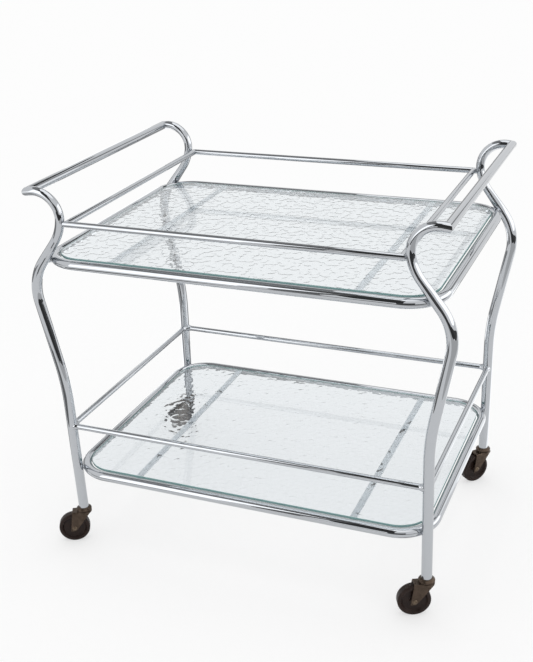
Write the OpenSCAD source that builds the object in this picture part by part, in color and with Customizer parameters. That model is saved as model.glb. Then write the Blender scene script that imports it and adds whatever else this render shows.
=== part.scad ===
// Serving trolley: two glass shelves in tube frames, four bent tube legs,
// two push handles, gallery rails and four swivel casters.
// Millimetres, +Z up, origin on the floor under the middle of the trolley.
// Right is +X, back is +Y. One swept corner is drawn and mirrored to the other three.

/* [Leg positions] */
// Leg axis at the foot, half the length of the trolley
foot_x = 343.6; // [280:0.1:420]
// Leg axis at the foot, half the depth of the trolley
foot_y = 236.5; // [180:0.1:300]
// Angle by which each leg splays towards the front or the back
leg_splay = 1.43; // [0:0.01:4]

/* [Leg tube] */
// Outside diameter of the leg
leg_d = 19; // [16:0.5:25]
// Outside diameter of the drawn-down upper end and of the handle
hook_d = 16; // [12:0.5:22]
// Wall of the leg and handle tube
leg_wall = 1.5; // [1:0.1:2.5]

/* [Leg bends] */
// Straight length from the foot up to the first bend
leg_l0 = 228.7; // [150:0.1:300]
// Axis radius of the slow outward bend
leg_r1 = 450; // [300:1:700]
// Angle of the outward lean after the slow bend
leg_a1 = 11; // [5:0.1:20]
// Straight length up to the bulge
leg_l1 = 120.8; // [60:0.1:200]
// Axis radius of the bulge
leg_r2 = 97.5; // [70:0.1:140]
// Angle turned back inward around the bulge
leg_a2 = 47.5; // [35:0.1:60]
// Straight drawn-down length above the bulge
leg_l2 = 53.3; // [30:0.1:80]
// Axis radius of the bend up into the hook
leg_r3 = 90; // [60:0.1:120]
// Angle turned outward into the hook
leg_a3 = 26.8; // [15:0.1:40]
// Axis radius of the hook
leg_r4 = 44.5; // [35:0.1:70]
// Angle turned outward around the hook
leg_a4 = 106.6; // [90:0.1:120]
// Straight end length of the hook up to the handle axis
leg_l4 = 6.5; // [1:0.1:20]

/* [Shelf frames] */
// Outside diameter of the frame tube
frame_d = 18; // [14:0.5:22]
// Wall of the frame tube
frame_wall = 1.5; // [1:0.1:2.5]
// Height of the upper frame axis above the end of the bulge
upper_frame_rise = 5.2; // [2:0.1:20]
// Distance of the upper frame axis outside the leg axis, along the length
upper_frame_out_x = 0.3; // [-5:0.1:10]
// Distance of the upper frame axis outside the leg axis, along the depth
upper_frame_out_y = 6.1; // [2:0.1:12]
// Upper frame axis corner radius
upper_frame_r = 64; // [40:0.5:90]
// Height of the lower frame axis above the foot of the leg
lower_frame_rise = 87.8; // [50:0.1:120]
// Distance of the lower frame axis outside the leg axis, along the length
lower_frame_out_x = 1.7; // [-5:0.1:10]
// Distance of the lower frame axis outside the leg axis, along the depth
lower_frame_out_y = 11.2; // [5:0.1:15]
// Lower frame axis corner radius
lower_frame_r = 67; // [40:0.5:90]
// Diameter of the brazed lugs between the legs and the frames
lug_d = 9; // [6:0.5:14]

/* [Glass and straps] */
// Thickness of the textured glass
glass_t = 5; // [4:0.5:8]
// Gap between the glass edge and the frame tube
glass_gap = 0.8; // [0.3:0.1:3]
// Width of each flat strap under the glass
strap_w = 12.7; // [8:0.1:25]
// Thickness of each flat strap
strap_t = 3; // [2:0.1:5]
// Distance of the upper straps from the middle of the trolley
upper_strap_x = 222; // [120:1:280]
// Distance of the lower straps from the middle of the trolley
lower_strap_x = 211; // [120:1:280]

/* [Gallery rails] */
// Outside diameter of the rails
rail_d = 11; // [8:0.5:14]
// Wall of the rail tube
rail_wall = 1.2; // [0.8:0.1:2]
// Angle around the bend into the hook at which the upper rail meets the leg
upper_rail_turn = 25.2; // [15:0.1:26.5]
// Distance of the upper rail axis outside the leg axis, along the depth
upper_rail_out_y = 1; // [0:0.1:4]
// Height of the lower rail axis above the foot of the leg
lower_rail_rise = 182; // [130:0.1:200]
// Diameter of the brazing flare where a lower rail meets a leg
flare_d = 15; // [12:0.5:18]
// Length of the brazing flare along the rail
flare_l = 6; // [3:0.5:12]
// Diameter of the brazed lug between an upper rail corner and a leg
rail_lug_d = 5; // [4:0.5:8]
// Drop of that lug below the rail axis
rail_lug_drop = 2.5; // [1:0.5:3]
// Gap closed by brazing between an upper rail corner and a leg
braze_gap = 0.3; // [0.1:0.1:2]

/* [Casters] */
// Diameter of the wheel
wheel_d = 60; // [50:1:75]
// Width of the wheel over the tread
wheel_w = 17; // [12:0.5:24]
// Width of the wheel over its hub
hub_w = 17.6; // [13:0.1:25]
// Diameter of the wheel hub
hub_d = 16; // [12:0.5:24]
// Distance from the swivel axis back to the axle
trail = 22; // [15:0.5:35]
// Diameter of the axle
axle_d = 6; // [5:0.5:10]
// Thickness of the fork sheet
fork_t = 2; // [1.5:0.1:4]
// Gap between the tread and the underside of the fork's top plate
wheel_clear = 2.7; // [1.5:0.1:6]
// Length of the top plate behind the swivel axis
plate_l = 23.3; // [15:0.1:35]
// Diameter of the round crown pressed up from the top plate
crown_d = 29.2; // [24:0.1:40]
// Height of the crown above the top plate
crown_h = 1.6; // [0.5:0.1:4]
// Radius of the cheek around the axle
cheek_r = 6.6; // [5:0.1:12]
// Diameter of the domed cap that the leg stands on
cap_d = 29.6; // [24:0.1:40]
// Height of the cap
cap_h = 6.5; // [5:0.1:12]
// Height of the upright rim of the cap
cap_rim_h = 3.8; // [2:0.1:4.5]
// Diameter of the king pin that the fork turns on
king_d = 9; // [7:0.5:12]
// Length of the stem inside the leg
stem_l = 34; // [20:1:50]
// Length of the socket inside the leg
socket_l = 38; // [25:1:60]

/* [Caster rest directions] */
// Angle of the front left wheel around its swivel, from +X towards +Y
trail_front_left = 209; // [0:0.5:360]
// Angle of the front right wheel around its swivel
trail_front_right = 206; // [0:0.5:360]
// Angle of the back left wheel around its swivel
trail_back_left = 200; // [0:0.5:360]
// Angle of the back right wheel around its swivel
trail_back_right = 229; // [0:0.5:360]

/* [Hidden] */
$fn = 96;
// Radial clearance of every turning fit
run_gap = 0.05;
// Side clearance between parts that turn past each other
side_gap = 0.3;
// Length by which a cutting solid runs past what it cuts
past = 1;
// Height and width of the slight band where a bend of the leg ends
seam_rise = 0.06;
seam_w = 1.2;
// Raised rim of the wheel: width, depth of the dished web, slope of the rim's inner side
rim_w = 6;
web_deep = 4.5;
rim_slope = 2;
tread_round = 2.5;
// Rivet heads, gap under the cap, skirt of the crown and top of the dome
axle_head_d = 9.5;
axle_head_t = 1.6;
axle_head_slope = 1.2;
king_head_d = 12;
king_head_t = 2.6;
crown_gap = 0.4;
crown_skirt = 3;
dome_top_d = 20.6;
// Leading edge of the cheek, behind the swivel axis and below the top plate
cheek_bend = [-2.5, 13.2];
cheek_flare = [-7.5, 6.8];
// Brazing left around a rail at the thin end of its flare
flare_lip = 0.4;

leg_r = leg_d / 2;
hook_r = hook_d / 2;
frame_r = frame_d / 2;
rail_r = rail_d / 2;
wheel_r = wheel_d / 2;
axle_z = wheel_r;

// Caster levels above the floor, up to the foot of the leg
fork_under = wheel_d + wheel_clear;
fork_z = fork_under + fork_t;
crown_top = fork_z + crown_h;
cap_z = crown_top + crown_gap;
foot_z = cap_z + cap_h;

// Leg path: bend ends from the foot upwards, [x, height above the foot], and headings from vertical
function go(p, h, l) = [p[0] + l * sin(h), p[1] + l * cos(h)];
function turn(p, h, r, a) = [
  p[0] + sign(a) * r * (cos(h) - cos(h + a)),
  p[1] + sign(a) * r * (sin(h + a) - sin(h))
];
p0 = [foot_x, 0];
p1 = go(p0, 0, leg_l0);
p2 = turn(p1, 0, leg_r1, leg_a1);
p3 = go(p2, leg_a1, leg_l1);
p4 = turn(p3, leg_a1, leg_r2, -leg_a2);
h4 = leg_a1 - leg_a2;
p5 = go(p4, h4, leg_l2);
p6 = turn(p5, h4, leg_r3, leg_a3);
h6 = h4 + leg_a3;
p7 = turn(p6, h6, leg_r4, leg_a4);
h7 = h6 + leg_a4;
p8 = go(p7, h7, leg_l4);
hook_end_x = p8[0];
hook_end_z = foot_z + p8[1] * cos(leg_splay);
hook_end_y = foot_y + p8[1] * sin(leg_splay);

// Height above the floor of a height along the leg path, and the leg axis at that height
function level(h) = foot_z + h * cos(leg_splay);
function leg_y(z) = foot_y + (z - foot_z) * tan(leg_splay);

// Shelf frame axes: height, leg axis at that height, half the length and half the depth
upper_frame_z = level(p4[1]) + upper_frame_rise;
upper_leg_x = p4[0] + upper_frame_rise / cos(leg_splay) * tan(h4);
upper_frame_x = upper_leg_x + upper_frame_out_x;
upper_frame_y = leg_y(upper_frame_z) + upper_frame_out_y;
lower_frame_z = foot_z + lower_frame_rise;
lower_frame_x = foot_x + lower_frame_out_x;
lower_frame_y = leg_y(lower_frame_z) + lower_frame_out_y;

// Gallery rail axes: the upper ones by their place around the bend into the hook
rail_at = turn(p5, h4, leg_r3, upper_rail_turn);
rail_leg_x = rail_at[0];
upper_rail_z = level(rail_at[1]);
upper_rail_x = rail_leg_x - hook_r / cos(h4 + upper_rail_turn) - rail_r - braze_gap;
upper_rail_y = leg_y(upper_rail_z) + upper_rail_out_y;
lower_rail_z = foot_z + lower_rail_rise;

// Glass plates: top level with the top of the frame tube
upper_glass_top = upper_frame_z + frame_r;
lower_glass_top = lower_frame_z + frame_r;
glass_in = frame_r + glass_gap;

// Cheeks and pins of the caster
cheek_in = hub_w / 2 + side_gap;
cheek_out = cheek_in + fork_t;
king_r = king_d / 2;
axle_r = axle_d / 2;

// Corner placing: side is -1 for left and 1 for right, end is -1 for front and 1 for back
module corner(side, end) {
  mirror([side < 0 ? 1 : 0, 0, 0])
    mirror([0, end < 0 ? 1 : 0, 0])
      children();
}

// All four corners
module corners() {
  for (side = [-1, 1])
    for (end = [-1, 1])
      corner(side, end)
        children();
}

// From the upright leg path plane to the splayed leg of the back right corner
module splayed() {
  translate([0, foot_y, foot_z])
    rotate([-leg_splay, 0, 0])
      children();
}

// To a point of the leg path, with Z along its heading
module at_path(p, h) {
  translate([p[0], 0, p[1]])
    rotate([0, h, 0])
      children();
}

// Round bend that starts at the origin along Z and turns towards +X, or -X when a is negative
module bend(r, a, bar_r) {
  mirror([a < 0 ? 1 : 0, 0, 0])
    translate([r, 0, 0])
      rotate([90, 0, 180])
        rotate_extrude(angle = abs(a))
          translate([r, 0])
            circle(r = bar_r);
}

// Slight band over the end of a bend, which joins the lengths of the leg in one solid
module seam(p, h, bar_r) {
  at_path(p, h)
    cylinder(h = seam_w, r = bar_r + seam_rise, center = true);
}

// Leg path as a solid bar; the upper end is drawn down over the straight above the bulge
module leg_bar(low_r, top_r, foot_past, end_past) {
  at_path(p0, 0)
    translate([0, 0, -foot_past])
      cylinder(h = leg_l0 + foot_past, r = low_r);
  at_path(p1, 0)
    bend(leg_r1, leg_a1, low_r);
  at_path(p2, leg_a1)
    cylinder(h = leg_l1, r = low_r);
  at_path(p3, leg_a1)
    bend(leg_r2, -leg_a2, low_r);
  at_path(p4, h4)
    cylinder(h = leg_l2, r1 = low_r, r2 = top_r);
  at_path(p5, h4)
    bend(leg_r3, leg_a3, top_r);
  at_path(p6, h6)
    bend(leg_r4, leg_a4, top_r);
  at_path(p7, h7)
    cylinder(h = leg_l4 + end_past, r = top_r);
  seam(p1, 0, low_r);
  seam(p2, leg_a1, low_r);
  seam(p3, leg_a1, low_r);
  seam(p4, h4, low_r);
  seam(p5, h4, top_r);
  seam(p6, h6, top_r);
  seam(p7, h7, top_r);
}

// Half space beyond the mitre between the hook end and the handle, or the half before it
module mitre_block(beyond) {
  size = 4 * hook_d;
  splayed()
    at_path(p8, h7)
      rotate([45, 0, 0])
        translate([-size / 2, -size / 2, beyond ? 0 : -size])
          cube(size);
}

// One leg of the back right corner
module leg() {
  $fn = 48;
  color("silver")
    difference() {
      splayed()
        leg_bar(leg_r, hook_r, past, hook_d);
      splayed()
        leg_bar(leg_r - leg_wall, hook_r - leg_wall, 2 * past, hook_d + past);
      mitre_block(true);
      foot_block();
    }
}

// Everything below the level cut of the foot
module foot_block() {
  translate([foot_x - leg_d, foot_y - leg_d, foot_z - leg_d])
    cube([2 * leg_d, 2 * leg_d, leg_d]);
}

// Solid lower leg that the lower rails, flares and lugs are coped to
module leg_post() {
  splayed()
    at_path(p0, 0)
      cylinder(h = leg_l0, r = leg_r);
}

// Solid drawn-down straight that the upper frame lugs are coped to
module leg_waist() {
  splayed()
    at_path(p4, h4)
      cylinder(h = leg_l2, r1 = leg_r, r2 = hook_r);
}

// Solid bend that the upper rail lugs are coped to
module leg_neck() {
  splayed()
    at_path(p5, h4)
      bend(leg_r3, leg_a3, hook_r);
}

// Handle bar of the right side
module handle() {
  color("silver")
    difference() {
      handle_bar(hook_r, hook_r);
      handle_bar(hook_r - leg_wall, hook_r + past);
      mitre_block(false);
      mirror([0, 1, 0])
        mitre_block(false);
    }
}

module handle_bar(bar_r, end_past) {
  translate([hook_end_x, 0, hook_end_z])
    rotate([90, 0, 0])
      cylinder(h = 2 * (hook_end_y + end_past), r = bar_r, center = true);
}

// Closed round bar loop in a level plane
module loop_bar(x, y, r, bar_r) {
  for (end = [-1, 1])
    translate([-(x - r), end * y, 0])
      rotate([0, 90, 0])
        cylinder(h = 2 * (x - r), r = bar_r);
  for (side = [-1, 1])
    translate([side * x, y - r, 0])
      rotate([90, 0, 0])
        cylinder(h = 2 * (y - r), r = bar_r);
  for (q = [0:3])
    translate([(q == 0 || q == 3 ? 1 : -1) * (x - r), (q < 2 ? 1 : -1) * (y - r), 0])
      rotate([0, 0, 90 * q])
        rotate_extrude(angle = 90)
          translate([r, 0])
            circle(r = bar_r);
}

module upper_loop(bar_r) {
  translate([0, 0, upper_frame_z])
    loop_bar(upper_frame_x, upper_frame_y, upper_frame_r, bar_r);
}

module lower_loop(bar_r) {
  translate([0, 0, lower_frame_z])
    loop_bar(lower_frame_x, lower_frame_y, lower_frame_r, bar_r);
}

module upper_frame() {
  color("silver")
    difference() {
      upper_loop(frame_r);
      upper_loop(frame_r - frame_wall);
    }
}

module lower_frame() {
  color("silver")
    difference() {
      lower_loop(frame_r);
      lower_loop(frame_r - frame_wall);
    }
}

// Lug from the axis of a round frame corner towards the leg axis, coped to the frame tube
module frame_lug(x, y, z, r, leg_x) {
  reach = norm([leg_x - (x - r), leg_y(z) - (y - r)]) - leg_r / 2;
  translate([x - r, y - r, z])
    difference() {
      rotate([0, 0, atan2(leg_y(z) - (y - r), leg_x - (x - r))])
        translate([r, 0, 0])
          rotate([0, 90, 0])
            cylinder(h = reach - r, r = lug_d / 2);
      rotate_extrude(angle = 90)
        translate([r, 0])
          circle(r = frame_r);
    }
}

module upper_frame_lugs() {
  $fn = 180;
  color("silver")
    corners()
      difference() {
        frame_lug(upper_frame_x, upper_frame_y, upper_frame_z, upper_frame_r, upper_leg_x);
        leg_waist();
      }
}

module lower_frame_lugs() {
  $fn = 180;
  color("silver")
    corners()
      difference() {
        frame_lug(lower_frame_x, lower_frame_y, lower_frame_z, lower_frame_r, foot_x);
        leg_post();
      }
}

// Rounded rectangular plate, half sizes x and y, corner radius r, thickness t
module plate(x, y, r, t) {
  linear_extrude(height = t)
    union() {
      square([2 * (x - r), 2 * y], center = true);
      square([2 * x, 2 * (y - r)], center = true);
      for (side = [-1, 1])
        for (end = [-1, 1])
          translate([side * (x - r), end * (y - r)])
            circle(r = r);
    }
}

module upper_glass() {
  color("lightcyan", 0.4)
    translate([0, 0, upper_glass_top - glass_t])
      plate(upper_frame_x - glass_in, upper_frame_y - glass_in, upper_frame_r - glass_in, glass_t);
}

module lower_glass() {
  color("lightcyan", 0.4)
    translate([0, 0, lower_glass_top - glass_t])
      plate(lower_frame_x - glass_in, lower_frame_y - glass_in, lower_frame_r - glass_in, glass_t);
}

// Flat strap across the frame, its ends coped to the front and back tubes
module upper_strap(side) {
  color("silver")
    difference() {
      strap_bar(side * upper_strap_x, upper_frame_y, upper_glass_top);
      upper_loop(frame_r);
    }
}

module lower_strap(side) {
  color("silver")
    difference() {
      strap_bar(side * lower_strap_x, lower_frame_y, lower_glass_top);
      lower_loop(frame_r);
    }
}

module strap_bar(x, y, glass_top) {
  translate([x - strap_w / 2, -y, glass_top - glass_t - strap_t])
    cube([strap_w, 2 * y, strap_t]);
}

// Upper rails: four tubes mitred to each other at the corners
module upper_rail_x_run(end) {
  k = rail_d;
  color("silver")
    intersection() {
      translate([0, end * upper_rail_y, upper_rail_z])
        rotate([0, 90, 0])
          tube_run(2 * (upper_rail_x + k));
      translate([0, 0, upper_rail_z - k])
        linear_extrude(height = 2 * k)
          polygon([
            [-upper_rail_x - k, end * (upper_rail_y + k)],
            [upper_rail_x + k, end * (upper_rail_y + k)],
            [upper_rail_x - k, end * (upper_rail_y - k)],
            [-upper_rail_x + k, end * (upper_rail_y - k)]
          ]);
    }
}

module upper_rail_y_run(side) {
  k = rail_d;
  color("silver")
    intersection() {
      translate([side * upper_rail_x, 0, upper_rail_z])
        rotate([90, 0, 0])
          tube_run(2 * (upper_rail_y + k));
      translate([0, 0, upper_rail_z - k])
        linear_extrude(height = 2 * k)
          polygon([
            [side * (upper_rail_x + k), -upper_rail_y - k],
            [side * (upper_rail_x + k), upper_rail_y + k],
            [side * (upper_rail_x - k), upper_rail_y - k],
            [side * (upper_rail_x - k), -upper_rail_y + k]
          ]);
    }
}

// Rail tube of length l centred on the origin along Z
module tube_run(l) {
  difference() {
    cylinder(h = l, r = rail_r, center = true);
    cylinder(h = l + past, r = rail_r - rail_wall, center = true);
  }
}

// Lower rails: four tubes coped to the legs
module lower_rail_x_run(end) {
  color("silver")
    difference() {
      translate([0, end * leg_y(lower_rail_z), lower_rail_z])
        rotate([0, 90, 0])
          tube_run(2 * foot_x);
      corners()
        leg_post();
    }
}

module lower_rail_y_run(side) {
  color("silver")
    difference() {
      translate([side * foot_x, 0, lower_rail_z])
        rotate([90, 0, 0])
          tube_run(2 * leg_y(lower_rail_z));
      corners()
        leg_post();
    }
}

// Brazed lug between an upper rail corner and the leg
module upper_rail_lugs() {
  $fn = 180;
  color("silver")
    corners()
      difference() {
        translate([upper_rail_x, leg_y(upper_rail_z), upper_rail_z - rail_lug_drop])
          rotate([0, 90, 0])
            cylinder(h = rail_leg_x - upper_rail_x, r = rail_lug_d / 2);
        translate([upper_rail_x, 0, upper_rail_z])
          rotate([90, 0, 0])
            cylinder(h = 2 * (upper_rail_y + rail_d), r = rail_r, center = true);
        leg_neck();
      }
}

// Flared brazing around both lower rail ends at each leg
module lower_rail_brazing() {
  color("silver")
    corners()
      difference() {
        translate([foot_x, leg_y(lower_rail_z), lower_rail_z])
          for (dir = [180, 270])
            rotate([0, 0, dir])
              rotate([0, 90, 0])
                flare();
        leg_post();
      }
}

// Cone from the leg surface down to the rail, open around the rail
module flare() {
  difference() {
    cylinder(h = leg_r, r = flare_d / 2);
    cylinder(h = leg_r + past, r = rail_r);
  }
  translate([0, 0, leg_r])
    difference() {
      cylinder(h = flare_l, r1 = flare_d / 2, r2 = rail_r + flare_lip);
      translate([0, 0, -past])
        cylinder(h = flare_l + 2 * past, r = rail_r);
    }
}

// Hidden socket pressed into each leg, bored upright for the caster stem
module caster_sockets() {
  color("dimgray")
    corners()
      difference() {
        intersection() {
          splayed()
            at_path(p0, 0)
              translate([0, 0, -past])
                cylinder(h = socket_l, r = leg_r - leg_wall);
          translate([foot_x, foot_y, foot_z])
            cylinder(h = socket_l, r = leg_d);
        }
        translate([foot_x, foot_y, foot_z - past])
          cylinder(h = stem_l + past, r = king_r);
      }
}

// Swivel frame of one caster: +X is the direction from the swivel axis to the wheel
module caster_frame(side, end, dir) {
  translate([side * foot_x, end * foot_y, 0])
    rotate([0, 0, dir])
      children();
}

// King pin, stem and riveted lower head on the swivel axis
module stem(side, end, dir) {
  head_top = fork_under - side_gap;
  color("dimgray")
    caster_frame(side, end, dir) {
      translate([0, 0, head_top])
        cylinder(h = foot_z + stem_l - head_top, r = king_r);
      translate([0, 0, head_top - king_head_t])
        cylinder(h = king_head_t, r = king_head_d / 2);
    }
}

// Domed cap under the foot of the leg
module cap(side, end, dir) {
  color("saddlebrown")
    caster_frame(side, end, dir)
      difference() {
        translate([0, 0, cap_z]) {
          cylinder(h = cap_rim_h, r = cap_d / 2);
          translate([0, 0, cap_rim_h])
            cylinder(h = cap_h - cap_rim_h, r1 = cap_d / 2, r2 = dome_top_d / 2);
        }
        translate([0, 0, cap_z - past])
          cylinder(h = cap_h + 2 * past, r = king_r);
      }
}

// Fork folded from sheet: top plate with a round crown, and a cheek on each side of the wheel
module fork(side, end, dir) {
  color("saddlebrown")
    caster_frame(side, end, dir)
      difference() {
        union() {
          crown();
          translate([0, -cheek_out, fork_under])
            cube([plate_l, 2 * cheek_out, fork_t]);
          cheek(1);
          cheek(-1);
        }
        translate([0, 0, fork_under - past])
          cylinder(h = fork_t + crown_h + 2 * past, r = king_r + run_gap);
        translate([trail, 0, axle_z])
          rotate([90, 0, 0])
            cylinder(h = 4 * cheek_out, r = axle_r, center = true);
      }
}

module crown() {
  translate([0, 0, fork_z - crown_skirt])
    difference() {
      cylinder(h = crown_skirt + crown_h, r = crown_d / 2);
      translate([0, 0, -past])
        cylinder(h = crown_skirt - fork_t + past, r = crown_d / 2 - fork_t);
    }
}

// Cheek plate from the top plate down to the axle
module cheek(s) {
  lead = [
    [cheek_bend[0], fork_z - cheek_bend[1]],
    [cheek_flare[0], fork_z - cheek_flare[1]],
    [-crown_d / 2 + fork_t, fork_z - crown_skirt]
  ];
  // Direction of the straight leading edge and its tangent point on the round foot
  slope = atan2(lead[0][1] - axle_z, trail - lead[0][0]);
  reach = norm([trail - lead[0][0], lead[0][1] - axle_z]);
  touch = 270 - slope - asin(cheek_r / reach);
  translate([0, s * cheek_in + (s > 0 ? fork_t : 0), 0])
    rotate([90, 0, 0])
      linear_extrude(height = fork_t)
        union() {
          polygon([
            [-crown_d / 2 + fork_t, fork_z],
            [plate_l, fork_z],
            [trail + cheek_r, axle_z],
            [trail, axle_z],
            [trail + cheek_r * cos(touch), axle_z + cheek_r * sin(touch)],
            lead[0],
            lead[1],
            lead[2]
          ]);
          translate([trail, axle_z])
            circle(r = cheek_r);
        }
}

// Axle rivet through both cheeks, a head on each side
module axle(side, end, dir) {
  color("peru")
    caster_frame(side, end, dir)
      translate([trail, 0, axle_z])
        rotate([90, 0, 0]) {
          cylinder(h = 2 * cheek_out, r = axle_r, center = true);
          for (s = [0, 1])
            mirror([0, 0, s])
              translate([0, 0, cheek_out])
                cylinder(
                  h = axle_head_t,
                  r1 = axle_head_d / 2,
                  r2 = axle_head_d / 2 - axle_head_slope
                );
        }
}

// Wheel: rounded tread, raised rim, dished web and hub
module wheel(side, end, dir) {
  color([0.13, 0.1, 0.09])
    caster_frame(side, end, dir)
      translate([trail, 0, axle_z])
        rotate([90, 0, 0])
          rotate_extrude()
            wheel_profile();
}

module wheel_profile() {
  bore_r = axle_r + run_gap;
  half = wheel_w / 2;
  rim_r = wheel_r - rim_w;
  difference() {
    union() {
      translate([bore_r, -half])
        square([wheel_r - tread_round - bore_r, wheel_w]);
      translate([bore_r, -half + tread_round])
        square([wheel_r - bore_r, wheel_w - 2 * tread_round]);
      translate([wheel_r - tread_round, half - tread_round])
        circle(r = tread_round);
      translate([wheel_r - tread_round, -half + tread_round])
        circle(r = tread_round);
      translate([bore_r, -hub_w / 2])
        square([hub_d / 2 - bore_r, hub_w]);
    }
    for (s = [0, 1])
      mirror([0, s])
        polygon([
          [hub_d / 2, half - web_deep],
          [rim_r - rim_slope, half - web_deep],
          [rim_r, half],
          [rim_r, half + past],
          [hub_d / 2, half + past]
        ]);
  }
}

corner(-1, -1) leg();  // leg_front_left
corner(1, -1) leg();  // leg_front_right
corner(-1, 1) leg();  // leg_back_left
corner(1, 1) leg();  // leg_back_right
corner(-1, 1) handle();  // handle_left
corner(1, 1) handle();  // handle_right
upper_frame();
lower_frame();
upper_frame_lugs();
lower_frame_lugs();
upper_strap(-1);  // upper_strap_left
upper_strap(1);  // upper_strap_right
lower_strap(-1);  // lower_strap_left
lower_strap(1);  // lower_strap_right
upper_glass();
lower_glass();
upper_rail_x_run(-1);  // upper_rail_front
upper_rail_x_run(1);  // upper_rail_back
upper_rail_y_run(-1);  // upper_rail_left
upper_rail_y_run(1);  // upper_rail_right
lower_rail_x_run(-1);  // lower_rail_front
lower_rail_x_run(1);  // lower_rail_back
lower_rail_y_run(-1);  // lower_rail_left
lower_rail_y_run(1);  // lower_rail_right
upper_rail_lugs();
lower_rail_brazing();
caster_sockets();
stem(-1, -1, trail_front_left);  // stem_front_left
stem(1, -1, trail_front_right);  // stem_front_right
stem(-1, 1, trail_back_left);  // stem_back_left
stem(1, 1, trail_back_right);  // stem_back_right
cap(-1, -1, trail_front_left);  // cap_front_left
cap(1, -1, trail_front_right);  // cap_front_right
cap(-1, 1, trail_back_left);  // cap_back_left
cap(1, 1, trail_back_right);  // cap_back_right
fork(-1, -1, trail_front_left);  // fork_front_left
fork(1, -1, trail_front_right);  // fork_front_right
fork(-1, 1, trail_back_left);  // fork_back_left
fork(1, 1, trail_back_right);  // fork_back_right
axle(-1, -1, trail_front_left);  // axle_front_left
axle(1, -1, trail_front_right);  // axle_front_right
axle(-1, 1, trail_back_left);  // axle_back_left
axle(1, 1, trail_back_right);  // axle_back_right
wheel(-1, -1, trail_front_left);  // wheel_front_left
wheel(1, -1, trail_front_right);  // wheel_front_right
wheel(-1, 1, trail_back_left);  // wheel_back_left
wheel(1, 1, trail_back_right);  // wheel_back_right
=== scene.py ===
"""Looks of a serving trolley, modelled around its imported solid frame.

The tubes are bent and mitred, the joints brazed, the glass cast with a hammered underside
and the casters folded and turned, each piece in the row frame and riding on its own body.
"""

import logging
import math
import random
from dataclasses import dataclass, field
from enum import Enum
from typing import Callable, Iterator, Sequence

import bmesh
import bpy
from mathutils import Matrix, Quaternion, Vector
from mathutils.kdtree import KDTree


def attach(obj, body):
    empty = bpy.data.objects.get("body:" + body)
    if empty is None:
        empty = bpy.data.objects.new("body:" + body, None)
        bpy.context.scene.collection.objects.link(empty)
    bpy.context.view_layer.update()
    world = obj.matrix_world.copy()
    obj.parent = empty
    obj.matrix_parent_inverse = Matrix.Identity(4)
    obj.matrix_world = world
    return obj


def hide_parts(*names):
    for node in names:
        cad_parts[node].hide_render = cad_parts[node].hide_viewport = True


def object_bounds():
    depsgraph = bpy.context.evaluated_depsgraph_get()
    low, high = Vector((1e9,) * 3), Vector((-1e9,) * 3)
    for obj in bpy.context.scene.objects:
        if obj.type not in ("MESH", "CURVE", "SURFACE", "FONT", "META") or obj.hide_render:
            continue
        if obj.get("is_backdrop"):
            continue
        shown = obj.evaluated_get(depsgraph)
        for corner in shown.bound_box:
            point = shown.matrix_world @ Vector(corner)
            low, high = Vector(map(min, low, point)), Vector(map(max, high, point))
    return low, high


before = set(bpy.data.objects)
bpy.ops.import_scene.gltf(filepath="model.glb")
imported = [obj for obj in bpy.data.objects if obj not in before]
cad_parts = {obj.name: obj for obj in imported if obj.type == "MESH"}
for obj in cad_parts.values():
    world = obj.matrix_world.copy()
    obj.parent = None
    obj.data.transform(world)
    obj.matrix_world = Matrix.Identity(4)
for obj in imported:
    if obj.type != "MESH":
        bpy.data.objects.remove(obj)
CAD_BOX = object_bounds()

LOG = logging.getLogger("trolley")
MM = 0.001
TUBE_SIDES = 80
BEAD_SIDES = 24
SMOOTH_ANGLE = math.radians(32)
WELD_DISTANCE = 2e-5
SAME_PLACE = 1e-6
SAME_RADIUS = 1e-9
LEVEL_NORMAL = 0.9
UPRIGHT_NORMAL = 0.1
WHITE = (1.0, 1.0, 1.0, 1.0)
ROOT_BODY = "trolley"


class Side(Enum):
    """Left or right end of the trolley, by the sign of X."""

    LEFT = -1
    RIGHT = 1


class End(Enum):
    """Front or back of the trolley, by the sign of Y."""

    FRONT = -1
    BACK = 1


@dataclass(frozen=True)
class Corner:
    """One of the four corners of the trolley."""

    end: End
    side: Side

    @property
    def name(self) -> str:
        """Words for this corner, as the nodes have them."""
        return f"{self.end.name}_{self.side.name}".lower()

    def mirror(self) -> Matrix:
        """Mirror that takes the back right corner to this one."""
        return Matrix.Diagonal((self.side.value, self.end.value, 1, 1))


CORNERS = tuple(Corner(end, side) for end in End for side in Side)


# The bench: selecting, shaping and finishing


def clear_bench() -> None:
    """Leaves edit mode and deselects everything."""
    if bpy.context.object and bpy.context.object.mode != "OBJECT":
        bpy.ops.object.mode_set(mode="OBJECT")
    bpy.ops.object.select_all(action="DESELECT")


def take(*pieces: bpy.types.Object) -> None:
    """Selects only these pieces and makes the first one active.

    Args:
        *pieces: mesh objects, the active one first.
    """
    clear_bench()
    for piece in pieces:
        piece.select_set(True)
    bpy.context.view_layer.objects.active = pieces[0]


def open_edit(piece: bpy.types.Object, kind: str = "VERT") -> None:
    """Opens a piece in edit mode, with nothing selected.

    Args:
        piece: mesh object to edit.
        kind: VERT, EDGE or FACE select mode.
    """
    take(piece)
    bpy.ops.object.mode_set(mode="EDIT")
    bpy.ops.mesh.select_mode(type=kind)
    bpy.ops.mesh.select_all(action="DESELECT")


def close_edit() -> None:
    """Leaves edit mode."""
    bpy.ops.object.mode_set(mode="OBJECT")


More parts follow.
